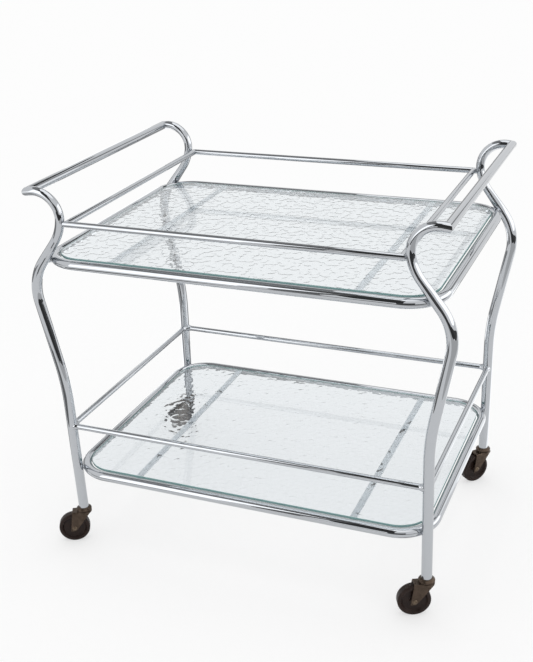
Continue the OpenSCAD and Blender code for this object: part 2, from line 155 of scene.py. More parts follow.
def pick(piece: bpy.types.Object, kind: str, test: Callable[..., bool]) -> int:
    """Selects the vertices, edges or faces that pass a test, in edit mode.

    Args:
        piece: mesh in edit mode.
        kind: VERT, EDGE or FACE.
        test: takes a bmesh element and says whether it is wanted.

    Returns:
        How many were selected.
    """
    bpy.ops.mesh.select_mode(type=kind)
    bpy.ops.mesh.select_all(action="DESELECT")
    mesh = bmesh.from_edit_mesh(piece.data)
    found = 0
    for element in {"VERT": mesh.verts, "EDGE": mesh.edges, "FACE": mesh.faces}[kind]:
        if test(element):
            element.select_set(True)
            found += 1
    mesh.select_mode = {kind}
    mesh.select_flush_mode()
    bmesh.update_edit_mesh(piece.data)
    return found


def settle(piece: bpy.types.Object) -> None:
    """Puts a piece's place, turn and size into its mesh."""
    take(piece)
    bpy.ops.object.transform_apply(location=True, rotation=True, scale=True)


def face_out(piece: bpy.types.Object) -> None:
    """Merges doubled points and turns all faces outwards.

    Args:
        piece: mesh object.
    """
    open_edit(piece)
    bpy.ops.mesh.select_all(action="SELECT")
    bpy.ops.mesh.remove_doubles(threshold=WELD_DISTANCE)
    bpy.ops.mesh.normals_make_consistent(inside=False)
    close_edit()


def smooth(piece: bpy.types.Object, angle: float = SMOOTH_ANGLE) -> None:
    """Shades a piece smooth, with creases at sharp edges and level large faces.

    Args:
        piece: mesh object.
        angle: edges sharper than this, in radians, stay sharp.
    """
    take(piece)
    bpy.ops.object.shade_smooth_by_angle(angle=angle)
    level = piece.modifiers.new("level_faces", "WEIGHTED_NORMAL")
    level.mode = "FACE_AREA"
    level.weight = 100
    level.keep_sharp = True
    bpy.ops.object.modifier_apply(modifier=level.name)


def soften(piece: bpy.types.Object, width: float, segments: int = 2, angle: float = 35) -> None:
    """Rounds the sharp edges of a piece with an applied bevel.

    Args:
        piece: mesh to round.
        width: width of the rounding in millimetres.
        segments: faces across the rounding.
        angle: edges sharper than this many degrees are rounded.
    """
    take(piece)
    bevel = piece.modifiers.new("rounding", "BEVEL")
    bevel.width = width * MM
    bevel.segments = segments
    bevel.limit_method = "ANGLE"
    bevel.angle_limit = math.radians(angle)
    bpy.ops.object.modifier_apply(modifier=bevel.name)


def join(name: str, pieces: Sequence[bpy.types.Object]) -> bpy.types.Object:
    """Joins pieces into one mesh with a new name.

    Args:
        name: name of the whole.
        pieces: mesh objects, which are used up.

    Returns:
        The whole.
    """
    take(*pieces)
    bpy.ops.object.join()
    whole = bpy.context.object
    whole.name = whole.data.name = name
    return whole


def block(name: str, middle: Vector, size: Vector) -> bpy.types.Object:
    """Starts a piece as a settled block.

    Args:
        name: name of the piece.
        middle: its middle in millimetres.
        size: its three sides in millimetres.

    Returns:
        The block.
    """
    clear_bench()
    bpy.ops.mesh.primitive_cube_add(size=1, location=middle * MM, scale=size * MM)
    piece = bpy.context.object
    piece.name = piece.data.name = name
    settle(piece)
    return piece


def copy_to(piece: bpy.types.Object, name: str, place: Matrix) -> bpy.types.Object:
    """Copies a piece with its own mesh to another place.

    Args:
        piece: settled piece to copy.
        name: name of the copy.
        place: matrix that takes the piece there; a mirroring one is turned right side out.

    Returns:
        The settled copy.
    """
    take(piece)
    bpy.ops.object.duplicate(linked=False)
    copy = bpy.context.object
    copy.name = copy.data.name = name
    copy.matrix_world = place
    settle(copy)
    if place.determinant() < 0:
        face_out(copy)
        smooth(copy)
    return copy


def drop(piece: bpy.types.Object) -> None:
    """Removes a pattern piece that was only copied."""
    take(piece)
    bpy.ops.object.delete()


def at_corners(pattern: bpy.types.Object, name: str) -> bpy.types.Object:
    """Copies a piece of the back right corner to all four and joins the copies.

    Args:
        pattern: settled piece, which is used up.
        name: name of the whole.

    Returns:
        The joined piece.
    """
    copies = [copy_to(pattern, f"{name}_{c.name}", c.mirror()) for c in CORNERS]
    drop(pattern)
    return join(name, copies)


def trim(piece: bpy.types.Object, point: Vector, normal: Vector, near: float = 9.0) -> None:
    """Saws off what lies beyond a plane and closes the cut.

    Args:
        piece: mesh to cut.
        point: point of the cut in metres.
        normal: direction of the waste.
        near: how far from the point the saw reaches, in metres.
    """
    open_edit(piece)
    pick(piece, "VERT", lambda vertex: (vertex.co - point).length < near)
    bpy.ops.mesh.bisect(plane_co=point, plane_no=normal, use_fill=True, clear_outer=True)
    close_edit()


class TubeBender:
    """Draws a round tube along straights and bends, ring by ring, as on a bending bench."""

    def __init__(
        self,
        name: str,
        start: Vector,
        heading: Vector,
        radius: float,
        sides: int = TUBE_SIDES,
        normal: Vector = Vector((0, 0, 1)),
    ) -> None:
        """Starts a tube with its first ring.

        Args:
            name: name of the piece.
            start: centre of the first ring in metres.
            heading: direction the tube runs in.
            radius: outside radius in metres.
            sides: faces around.
            normal: axis of the plane that the bends lie in.
        """
        clear_bench()
        self.point = start.copy()
        self.heading = heading.normalized()
        self.normal = normal.normalized()
        self.radius = radius
        bpy.ops.mesh.primitive_circle_add(
            vertices=sides,
            radius=radius,
            fill_type="NOTHING",
            location=start,
            rotation=self.heading.to_track_quat("Z", "Y").to_euler(),
        )
        self.piece = bpy.context.object
        self.piece.name = self.piece.data.name = name
        settle(self.piece)
        open_edit(self.piece)
        bpy.ops.mesh.select_all(action="SELECT")

    def straight(self, length: float, end_radius: float | None = None, rings: int = 1) -> None:
        """Runs straight on, changing to another radius with an eased taper.

        Args:
            length: length of the run in metres.
            end_radius: tube radius at its end in metres, or None to keep it.
            rings: rings that the run is made in.
        """
        begin = self.radius
        end = begin if end_radius is None else end_radius
        for ring in range(1, rings + 1):
            share = ring / rings
            eased = share * share * (3 - 2 * share)
            self.step(length / rings, begin + (end - begin) * eased)

    def step(self, length: float, radius: float) -> None:
        """Adds one ring further along, with its own radius.

        Args:
            length: distance to the new ring in metres.
            radius: its radius in metres.
        """
        move = self.heading * length
        bpy.ops.mesh.extrude_region_move(
            TRANSFORM_OT_translate={"value": move, "orient_type": "GLOBAL"}
        )
        self.point += move
        if abs(radius - self.radius) > SAME_RADIUS:
            scale = radius / self.radius
            bpy.ops.transform.resize(value=(scale,) * 3, center_override=self.point)
            self.radius = radius

    def bend(self, radius: float, angle: float, steps: int) -> None:
        """Bends around an axis of the given radius, by an angle in degrees around the normal.

        Args:
            radius: radius of the tube's axis in metres.
            angle: degrees around the normal, either way.
            steps: rings in the bend.
        """
        inward = self.normal.cross(self.heading) * math.copysign(1, angle)
        centre = self.point + inward * radius
        turn = math.radians(angle)
        bpy.ops.mesh.spin(steps=steps, angle=-turn, center=centre, axis=self.normal)
        swing = Quaternion(self.normal, turn)
        self.point = centre + swing @ (self.point - centre)
        self.heading = swing @ self.heading

    def close_end(self) -> None:
        """Closes the last ring with a face."""
        bpy.ops.mesh.edge_face_add()

    def done(self) -> bpy.types.Object:
        """Closes any open first ring, finishes the mesh and gives the piece back.

        Returns:
            The closed piece, shaded smooth.
        """
        bpy.ops.mesh.select_all(action="SELECT")
        bpy.ops.mesh.remove_doubles(threshold=WELD_DISTANCE)
        bpy.ops.mesh.select_all(action="DESELECT")
        bpy.ops.mesh.select_mode(type="EDGE")
        bpy.ops.mesh.select_non_manifold(extend=False)
        bpy.ops.mesh.edge_face_add()
        close_edit()
        face_out(self.piece)
        smooth(self.piece)
        return self.piece


def turned(
    name: str,
    centre: Vector,
    axis: Vector,
    profile: Sequence[tuple[float, float]],
    sides: int = TUBE_SIDES,
    ring: bool = False,
) -> bpy.types.Object:
    """Turns a round piece from its profile, as on a lathe.

    Args:
        name: name of the piece.
        centre: zero of the profile, in metres.
        axis: direction of the profile's distances.
        profile: pairs of distance along the axis and radius, in millimetres.
        sides: faces around.
        ring: whether the profile closes on itself around a bore.

    Returns:
        The closed piece.
    """
    along = axis.normalized()
    first, radius = profile[0]
    lathe = TubeBender(name, centre + along * first * MM, along, radius * MM, sides)
    place = first
    for distance, radius in profile[1:]:
        lathe.step((distance - place) * MM, radius * MM)
        place = distance
    if not ring:
        lathe.close_end()
    return lathe.done()


def ride(
    piece: bpy.types.Object,
    body: str,
    slot: str,
    finish: bpy.types.Material,
    *nodes: str,
) -> bpy.types.Object:
    """slot: not used. material slot of the record.
        finish: material of the piece.
        nodes: CAD nodes that it stands for.

    Returns:
        The same piece.
    """
    piece.data.materials.clear()
    piece.data.materials.append(finish)
    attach(piece, body)
    if nodes:
        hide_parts(*nodes)
    LOG.info("%s: %d faces on %s", piece.name, len(piece.data.polygons), body)
    return piece


# Finishes


def linear(code: str) -> tuple[float, float, float, float]:
    """Linear colour of an sRGB hex code such as C0C4C8."""
    parts = [int(code[i : i + 2], 16) / 255 for i in (0, 2, 4)]
    return (*(c / 12.92 if c <= 0.04045 else ((c + 0.055) / 1.055) ** 2.4 for c in parts), 1.0)


def add_node(
    tree: bpy.types.NodeTree,
    kind: str,
    sockets: dict | None = None,
    **settings: object,
) -> bpy.types.Node:
    """Adds one node with its settings and links.

    Args:
        tree: node tree that gets the node.
        kind: Blender's type name of the node.
        sockets: inputs by name or place; an output socket is linked, anything else is set.
        settings: the node's own properties.

    Returns:
        The new node.
    """
    node = tree.nodes.new(kind)
    for name, value in settings.items():
        setattr(node, name, value)
    for name, value in (sockets or {}).items():
        if isinstance(value, bpy.types.NodeSocket):
            tree.links.new(value, node.inputs[name])
        else:
            node.inputs[name].default_value = value
    return node


def new_tree(name: str) -> tuple[bpy.types.Material, bpy.types.NodeTree]:
    """Makes a material with an empty node tree.

    Args:
        name: name of the material.

    Returns:
        The material and its node tree.
    """
    material = bpy.data.materials.new(name)
    material.use_nodes = True
    material.node_tree.nodes.clear()
    return material, material.node_tree


def per_metre(size_mm: float) -> float:
    """Noise scale whose features are about this many millimetres apart."""
    return 1 / (size_mm * MM)


@dataclass(frozen=True)
class Finish:
    """What all finishes share: object coordinates, one principled shader and its output."""

    name: str

    def make(self) -> bpy.types.Material:
        """Builds the material.

        Returns:
            The material, its pattern laid on object coordinates in metres.
        """
        material, tree = new_tree(self.name)
        place = add_node(tree, "ShaderNodeTexCoord").outputs["Object"]
        shader = add_node(tree, "ShaderNodeBsdfPrincipled", self.surface(tree, place))
        layers = {"Surface": shader.outputs["BSDF"], **self.depth(tree)}
        add_node(tree, "ShaderNodeOutputMaterial", layers)
        return material

    def surface(self, tree: bpy.types.NodeTree, place: bpy.types.NodeSocket) -> dict:
        """Adds the finish's own nodes, in each finish its own way.

        Args:
            tree: node tree of the material.
            place: object coordinates.

        Returns:
            Inputs of the principled shader, by name.
        """
        raise NotImplementedError

    def depth(self, tree: bpy.types.NodeTree) -> dict:
        """Output inputs for what lies under the surface: none, unless the finish is clear."""
        return {}


@dataclass(frozen=True)
class ChromePlate(Finish):
    """Bright nickel-chrome plating on polished steel tube: a clear mirror of cool grey.

    Chromium sends back a little over half the light, so white surroundings look light grey
    in it. Buffing leaves a slow waviness, the plate has fine pits, and handling leaves a faint
    haze in patches.
    """

    name: str = "bright_chrome_plate"
    colour: str = "BABDC1"
    polish: float = 0.015
    haze: float = 0.05
    haze_mm: float = 22.0
    haze_range: tuple[float, float] = (0.45, 0.75)
    wave_mm: float = 30.0
    wave_depth_mm: float = 0.02
    pit_mm: float = 1.6
    pit_depth_mm: float = 0.0008

    def surface(self, tree: bpy.types.NodeTree, place: bpy.types.NodeSocket) -> dict:
        """Lays the haze, the waves and the pits.

        Args:
            tree: node tree of the material.
            place: object coordinates.

        Returns:
            Inputs of the principled shader, by name.
        """
        haze = add_node(
            tree,
            "ShaderNodeTexNoise",
            {"Vector": place, "Scale": per_metre(self.haze_mm), "Detail": 4.0, "Roughness": 0.6},
        )
        rough = add_node(
            tree,
            "ShaderNodeMapRange",
            {
                "Value": haze.outputs["Fac"],
                "From Min": self.haze_range[0],
                "From Max": self.haze_range[1],
                "To Min": self.polish,
                "To Max": self.haze,
            },
        )
        normal = {}
        for size_mm, depth_mm, detail in (
            (self.wave_mm, self.wave_depth_mm, 1.0),
            (self.pit_mm, self.pit_depth_mm, 2.0),
        ):
            noise = add_node(
                tree,
                "ShaderNodeTexNoise",
                {"Vector": place, "Scale": per_metre(size_mm), "Detail": detail},
            )
            bump = add_node(
                tree,
                "ShaderNodeBump",
                {"Distance": depth_mm * MM, "Height": noise.outputs["Fac"], **normal},
            )
            normal = {"Normal": bump.outputs["Normal"]}
        return {
            "Base Color": linear(self.colour),
            "Metallic": 1.0,
            "Roughness": rough.outputs["Result"],
            **normal,
        }


@dataclass(frozen=True)
class TwoTone(Finish):
    """A surface whose colour and roughness drift between two values in soft patches.

    It serves the satin straps, the bronzed and the plain steel and the hard rubber: each has
    its own two tones, patch size, grain and sheen.
    """

    dark: str
    light: str
    metallic: float
    rough_low: float
    rough_high: float
    patch_mm: float
    grain_mm: float
    grain_depth_mm: float
    gloss: float = 0.5
    tone_range: tuple[float, float] = (0.35, 0.68)
    rough_range: tuple[float, float] = (0.3, 0.7)

    def surface(self, tree: bpy.types.NodeTree, place: bpy.types.NodeSocket) -> dict:
        """Lays the patches of tone and sheen, and the grain.

        Args:
            tree: node tree of the material.
            place: object coordinates.

        Returns:
            Inputs of the principled shader, by name.
        """
        patch = add_node(
            tree,
            "ShaderNodeTexNoise",
            {"Vector": place, "Scale": per_metre(self.patch_mm), "Detail": 5.0, "Roughness": 0.6},
        )
        tone = add_node(tree, "ShaderNodeValToRGB", {"Fac": patch.outputs["Fac"]})
        for index, code in enumerate((self.dark, self.light)):
            tone.color_ramp.elements[index].position = self.tone_range[index]
            tone.color_ramp.elements[index].color = linear(code)
        rough = add_node(
            tree,
            "ShaderNodeMapRange",
            {
                "Value": patch.outputs["Fac"],
                "From Min": self.rough_range[0],
                "From Max": self.rough_range[1],
                "To Min": self.rough_low,
                "To Max": self.rough_high,
            },
        )
        grain = add_node(
            tree,
            "ShaderNodeTexNoise",
            {"Vector": place, "Scale": per_metre(self.grain_mm), "Detail": 3.0},
        )
        bump = add_node(
            tree,
            "ShaderNodeBump",
            {"Distance": self.grain_depth_mm * MM, "Height": grain.outputs["Fac"]},
        )
        return {
            "Base Color": tone.outputs["Color"],
            "Metallic": self.metallic,
            "Roughness": rough.outputs["Result"],
            "Specular IOR Level": self.gloss,
            "Normal": bump.outputs["Normal"],
        }


@dataclass(frozen=True)
class CastGlass(Finish):
    """Rolled soda-lime glass, clear over its face and teal along its edges.

    Iron in the glass takes out red over a long path, so only the edge looks green. Fine
    crests between scattered cells are drawn as bump and bend the light away, so they show as
    dark crescents. The broad dimples are in the plate's own shape. Along the ridges between
    the dimples the base colour is painted a touch darker, as painted shade.
    """

    name: str = "hammered_soda_lime_glass"
    clear: str = "EEF0F3"
    # painted shade: base colour along the ridges, a touch darker than the clear face
    painted_ridge_shade: str = "EAEDEF"
    depth_colour: str = "65E4DF"
    depth_density: float = 4.6
    ior: float = 1.51
    polish: float = 0.0
    cell_mm: float = 12.5
    cell_scatter: float = 0.9
    cell_depth_mm: float = 0.16
    cell_reach: float = 0.64
    cell_rise: float = 7.0
    drift_mm: float = 2.2

    def surface(self, tree: bpy.types.NodeTree, place: bpy.types.NodeSocket) -> dict:
        """Lays the painted shade along the ridges, and the crests between the cells.

        Args:
            tree: node tree of the material.
            place: object coordinates.

        Returns:
            Inputs of the principled shader, by name.
        """
        # Painted shade: the base colour darkens a little along the ridges between the dimples.
        painted_ridge_shade = add_node(tree, "ShaderNodeAttribute", attribute_name="painted_ridge_shade")
        tone = add_node(
            tree,
            "ShaderNodeMix",
            {0: painted_ridge_shade.outputs["Fac"], 6: linear(self.clear), 7: linear(self.painted_ridge_shade)},
            data_type="RGBA",
        )
        drift = add_node(
            tree,
            "ShaderNodeTexNoise",
            {"Vector": place, "Scale": per_metre(self.cell_mm), "Detail": 1.0},
        )
        off = add_node(
            tree,
            "ShaderNodeVectorMath",
            {0: drift.outputs["Color"], 1: (self.drift_mm * MM,) * 3, 2: place},
            operation="MULTIPLY_ADD",
        )
        cells = add_node(
            tree,
            "ShaderNodeTexVoronoi",
            {
                "Vector": off.outputs["Vector"],
                "Scale": per_metre(self.cell_mm),
                "Randomness": self.cell_scatter,
            },
            feature="F1",
            voronoi_dimensions="2D",
        )
        rolled = add_node(tree, "ShaderNodeAttribute", attribute_name="rolled").outputs["Fac"]
        height = cells.outputs["Distance"]
        for operation, other, clamp in (
            ("DIVIDE", self.cell_reach, True),
            ("POWER", self.cell_rise, False),
            ("MULTIPLY", rolled, False),
        ):
            both = {0: height, 1: other}
            step = add_node(tree, "ShaderNodeMath", both, operation=operation, use_clamp=clamp)
            height = step.outputs["Value"]
        bump = add_node(
            tree, "ShaderNodeBump", {"Distance": self.cell_depth_mm * MM, "Height": height}
        )
        return {
            "Base Color": tone.outputs[2],
            "Roughness": self.polish,
            "IOR": self.ior,
            "Transmission Weight": 1.0,
            "Normal": bump.outputs["Normal"],
        }

    def depth(self, tree: bpy.types.NodeTree) -> dict:
        """Output inputs for the tint that builds up along the path through the glass."""
        tint = {"Color": linear(self.depth_colour), "Density": self.depth_density}
        return {"Volume": add_node(tree, "ShaderNodeVolumeAbsorption", tint).outputs["Volume"]}


@dataclass(frozen=True)
class GroundEdge(Finish):
    """The ground edge of a glass shelf: frosted by the wheel, teal from the depth behind it."""

    name: str = "ground_glass_edge"
    dark: str = "7FA9A8"
    light: str = "A9C9C7"
    frost_mm: float = 3.0
    grit_mm: float = 0.6
    grit_depth_mm: float = 0.01
    frost: float = 0.32

    def surface(self, tree: bpy.types.NodeTree, place: bpy.types.NodeSocket) -> dict:
        """Lays the frost and the marks of the grit.

        Args:
            tree: node tree of the material.
            place: object coordinates.

        Returns:
            Inputs of the principled shader, by name.
        """
        frost, grit = (
            add_node(tree, "ShaderNodeTexNoise", {"Vector": place, "Scale": per_metre(size_mm)})
            for size_mm in (self.frost_mm, self.grit_mm)
        )
        tone = add_node(
            tree,
            "ShaderNodeMix",
            {0: frost.outputs["Fac"], 6: linear(self.dark), 7: linear(self.light)},
            data_type="RGBA",
        )
        bump = add_node(
            tree,
            "ShaderNodeBump",
            {"Distance": self.grit_depth_mm * MM, "Height": grit.outputs["Fac"]},
        )
        return {
            "Base Color": tone.outputs[2],
            "Roughness": self.frost,
            "Normal": bump.outputs["Normal"],
        }


@dataclass
class Finishes:
    """All finishes of the trolley, made once."""

    chrome: bpy.types.Material = field(init=False)
    brazing: bpy.types.Material = field(init=False)
    strap: bpy.types.Material = field(init=False)
    glass: bpy.types.Material = field(init=False)
    glass_edge: bpy.types.Material = field(init=False)
    bronze: bpy.types.Material = field(init=False)
    rivet: bpy.types.Material = field(init=False)
    steel: bpy.types.Material = field(init=False)
    rubber: bpy.types.Material = field(init=False)

    def __post_init__(self) -> None:
        """Makes every material."""
        self.chrome = ChromePlate().make()
        # Plated over the uneven braze: duller than the tube and full of small ripples.
        self.brazing = ChromePlate(
            name="chromed_brazing", polish=0.06, haze=0.16, wave_mm=5.0, wave_depth_mm=0.12
        ).make()
        # Satin-plated strip: pale and even, with no clear reflections.
        self.strap = TwoTone(
            "satin_plated_strap", "E0E3E6", "EBEDEE", 1.0, 0.46, 0.56, 40.0, 1.5, 0.01
        ).make()
        self.glass = CastGlass().make()
        self.glass_edge = GroundEdge().make()
        # Chemically bronzed pressed steel: dark brown, with a soft metal sheen.
        self.bronze = TwoTone(
            "bronzed_sheet_steel", "43382F", "574A40", 0.85, 0.3, 0.42, 9.0, 0.8, 0.008
        ).make()
        # The same bronzing, worn lighter on the rivet heads.
        self.rivet = TwoTone(
            "bronzed_rivet_steel", "54473B", "7C6E5E", 0.95, 0.24, 0.36, 3.0, 0.6, 0.006
        ).make()
        # Bare turned steel, for the hidden pins and sockets.
        self.steel = TwoTone(
            "plain_turned_steel", "8B8D90", "A5A7AA", 1.0, 0.25, 0.4, 8.0, 0.5, 0.005
        ).make()
        # Moulded hard rubber: almost black brown, with a dull gloss.
        self.rubber = TwoTone(
            "dark_brown_hard_rubber", "1E1310", "2B1D17", 0.0, 0.34, 0.46, 9.0, 0.7, 0.01, 0.22
        ).make()


# The trolley's pieces


@dataclass(frozen=True)
class LegTube:
    """One bent leg of drawn-down tube, with the handle mitred to its hook.

    Sizes are in millimetres and degrees, for the back right leg, in order from the foot up. A
    bend is given by the radius of its axis, its angle and how many rings it gets.
    """

    foot: tuple[float, float, float] = (343.6, 236.5, 73.2)
    splay: float = 1.43
    tube_d: float = 19.0
    hook_d: float = 16.0
    lower_straight: float = 228.7
    slow_bend: tuple[float, float, int] = (450.0, 11.0, 10)
    upper_straight: float = 120.8
    bulge: tuple[float, float, int] = (97.5, -47.5, 24)
    drawn_straight: float = 53.3
    drawn_rings: int = 10
    neck: tuple[float, float, int] = (90.0, 26.8, 14)
    hook: tuple[float, float, int] = (44.5, 106.6, 44)
    hook_straight: float = 6.5
    start_below: float = 6.0
    run_past: float = 18.0
    mitre_reach: float = 35.0

    def up(self) -> Vector:
        """Direction of the leg at its foot."""
        lean = math.radians(self.splay)
        return Vector((0, math.sin(lean), math.cos(lean)))

    def plane(self) -> Vector:
        """Axis that the leg's bends turn around."""
        lean = math.radians(self.splay)
        return Vector((0, math.cos(lean), -math.sin(lean)))

    def axis_y(self, height: float) -> float:
        """Leg axis at a height above the floor, in millimetres from the middle."""
        return self.foot[1] + (height - self.foot[2]) * math.tan(math.radians(self.splay))

    def bent(self) -> tuple[bpy.types.Object, Vector, Vector]:
        """Bends the tube of the back right leg.

        Returns:
            The untrimmed tube, the axis point at its mitre and its heading there.
        """
        foot = Vector(self.foot) * MM
        low, top = self.tube_d / 2 * MM, self.hook_d / 2 * MM
        start = foot - self.up() * self.start_below * MM
        tube = TubeBender("leg_pattern", start, self.up(), low, normal=self.plane())

        def bow(radius: float, angle: float, rings: int) -> None:
            """Bends the tube by a radius in millimetres and an angle in degrees."""
            tube.bend(radius * MM, angle, rings)

        tube.straight((self.lower_straight + self.start_below) * MM)
        bow(*self.slow_bend)
        tube.straight(self.upper_straight * MM)
        bow(*self.bulge)
        tube.straight(self.drawn_straight * MM, top, self.drawn_rings)
        bow(*self.neck)
        bow(*self.hook)
        tube.straight(self.hook_straight * MM)
        point, heading = tube.point.copy(), tube.heading.copy()
        tube.straight(self.run_past * MM)
        tube.close_end()
        return tube.done(), point, heading

    def build(self, finishes: Finishes) -> None:
        """Makes the four legs and the two handles.

        Args:
            finishes: the trolley's materials.
        """
        leg, point, heading = self.bent()
        across = (heading - self.plane()).normalized()
        trim(leg, point, across, near=self.mitre_reach * MM)
        trim(leg, Vector(self.foot) * MM, Vector((0, 0, -1)))
        smooth(leg)
        leg.data.materials.append(finishes.chrome)
        for corner in CORNERS:
            tube = copy_to(leg, f"leg_tube_{corner.name}", corner.mirror())
            ride(tube, ROOT_BODY, "chrome", finishes.chrome, f"leg_{corner.name}")
        drop(leg)
        self.build_handles(finishes, point, across)

    def build_handles(self, finishes: Finishes, point: Vector, across: Vector) -> None:
        """Makes the handle bars between the hooks.

        Args:
            finishes: the trolley's materials.
            point: axis point of the back right mitre.
            across: normal of that mitre, from the leg towards the handle's outer side.
        """
        past = self.run_past * MM
        half = point.y + past
        start = Vector((point.x, -half, point.z))
        bar = TubeBender("handle_pattern", start, Vector((0, 1, 0)), self.hook_d / 2 * MM)
        bar.straight(2 * half)
        bar.close_end()
        handle = bar.done()
        flip = Matrix.Diagonal((1, -1, 1))
        trim(handle, point, -across)
        trim(handle, flip @ point, -(flip @ across))
        smooth(handle)
        for side in Side:
            place = Matrix.Diagonal((side.value, 1, 1, 1))
            name = side.name.lower()
            grip = copy_to(handle, f"push_handle_{name}", place)
            ride(grip, ROOT_BODY, "chrome", finishes.chrome, f"handle_{name}")
        drop(handle)


@dataclass(frozen=True)
class ShelfFrame:
    """A closed tube loop, its brazing to the legs, and the straps and glass that it carries.

    Sizes are in millimetres. The dimple is the depth pressed into the glass, and the relief is
    how much of the finish's fine crests it shows.
    """

    level: str
    height: float
    half_x: float
    half_y: float
    corner_r: float
    strap_x: float
    leg_at: tuple[float, float]
    leg_r: float
    tube_d: float = 18.0
    glass_t: float = 5.0
    glass_gap: float = 0.8
    strap_w: float = 12.7
    strap_t: float = 3.0
    strap_in: float = 4.0
    strap_round: float = 0.8
    corner_rings: int = 28
    seed: int = 7
    relief: float = 1.0
    dimple: float = 0.1

    def build(self, finishes: Finishes) -> None:
        """Makes the loop, the brazing, the straps and the glass.

        Args:
            finishes: the trolley's materials.
        """
        self.loop(finishes)
        self.brazing(finishes)
        self.straps(finishes)
        self.glass(finishes)

    def loop(self, finishes: Finishes) -> None:
        """Bends the closed loop, starting in the middle of its front run.

        Args:
            finishes: the trolley's materials.
        """
        start = Vector((0, -self.half_y, self.height)) * MM
        tube = TubeBender(
            f"{self.level}_frame_tube", start, Vector((1, 0, 0)), self.tube_d / 2 * MM
        )
        run_x = (self.half_x - self.corner_r) * MM
        run_y = 2 * (self.half_y - self.corner_r) * MM
        tube.straight(run_x)
        for length in (run_y, 2 * run_x, run_y, run_x):
            tube.bend(self.corner_r * MM, 90, self.corner_rings)
            tube.straight(length)
        piece = tube.done()
        ride(piece, ROOT_BODY, "chrome", finishes.chrome, f"{self.level}_frame")

    def brazing(self, finishes: Finishes) -> None:
        """Makes the necks of brazing between the loop's corners and the legs.

        Args:
            finishes: the trolley's materials.
        """
        middle = Vector((self.half_x - self.corner_r, self.half_y - self.corner_r, 0))
        leg = Vector((*self.leg_at, 0))
        out = (leg - middle).normalized()
        near = self.corner_r + self.tube_d / 2
        far = (leg - middle).length - self.leg_r
        waist = (near + far) / 2
        profile = [
            (near - 3.5, 5.6),
            (near - 0.8, 5.2),
            (waist - 0.3, 4.5),
            (waist + 0.3, 4.5),
            (far + 0.8, 5.2),
            (far + 3.5, 5.6),
        ]
        centre = (middle + Vector((0, 0, self.height))) * MM
        bead = turned("bead_pattern", centre, out, profile, sides=BEAD_SIDES)
        whole = at_corners(bead, f"{self.level}_frame_brazing")
        ride(whole, ROOT_BODY, "brazing", finishes.brazing, f"{self.level}_frame_lugs")

    def straps(self, finishes: Finishes) -> None:
        """Makes the flat straps that carry the glass.

        Args:
            finishes: the trolley's materials.
        """
        top = self.height + self.tube_d / 2 - self.glass_t
        size = Vector((self.strap_w, 2 * (self.half_y - self.strap_in), self.strap_t))
        for side in Side:
            name = side.name.lower()
            middle = Vector((side.value * self.strap_x, 0, top - self.strap_t / 2))
            strap = block(f"{self.level}_cross_strap_{name}", middle, size)
            soften(strap, self.strap_round, segments=3)
            smooth(strap)
            ride(strap, ROOT_BODY, "strap", finishes.strap, f"{self.level}_strap_{name}")

    def glass(self, finishes: Finishes) -> None:
        """Makes the glass plate with its hammered underside.

        Args:
            finishes: the trolley's materials.
        """
        inset = self.tube_d / 2 + self.glass_gap
        plate = HammeredPlate(
            name=f"{self.level}_shelf_glass",
            half_x=self.half_x - inset,
            half_y=self.half_y - inset,
            corner_r=self.corner_r - inset,
            top=self.height + self.tube_d / 2,
            thick=self.glass_t,
            seed=self.seed,
            relief=self.relief,
            dimple=self.dimple,
        )
        sheet = ride(plate.build(), ROOT_BODY, "glass", finishes.glass, f"{self.level}_glass")
        sheet.data.materials.append(finishes.glass_edge)
        for face in sheet.data.polygons:
            upright = abs(face.normal.z) < LEVEL_NORMAL
            face.material_index = int(upright and plate.on_edge(face.center))
        sheet.visible_shadow = False
        sheet.visible_diffuse = False


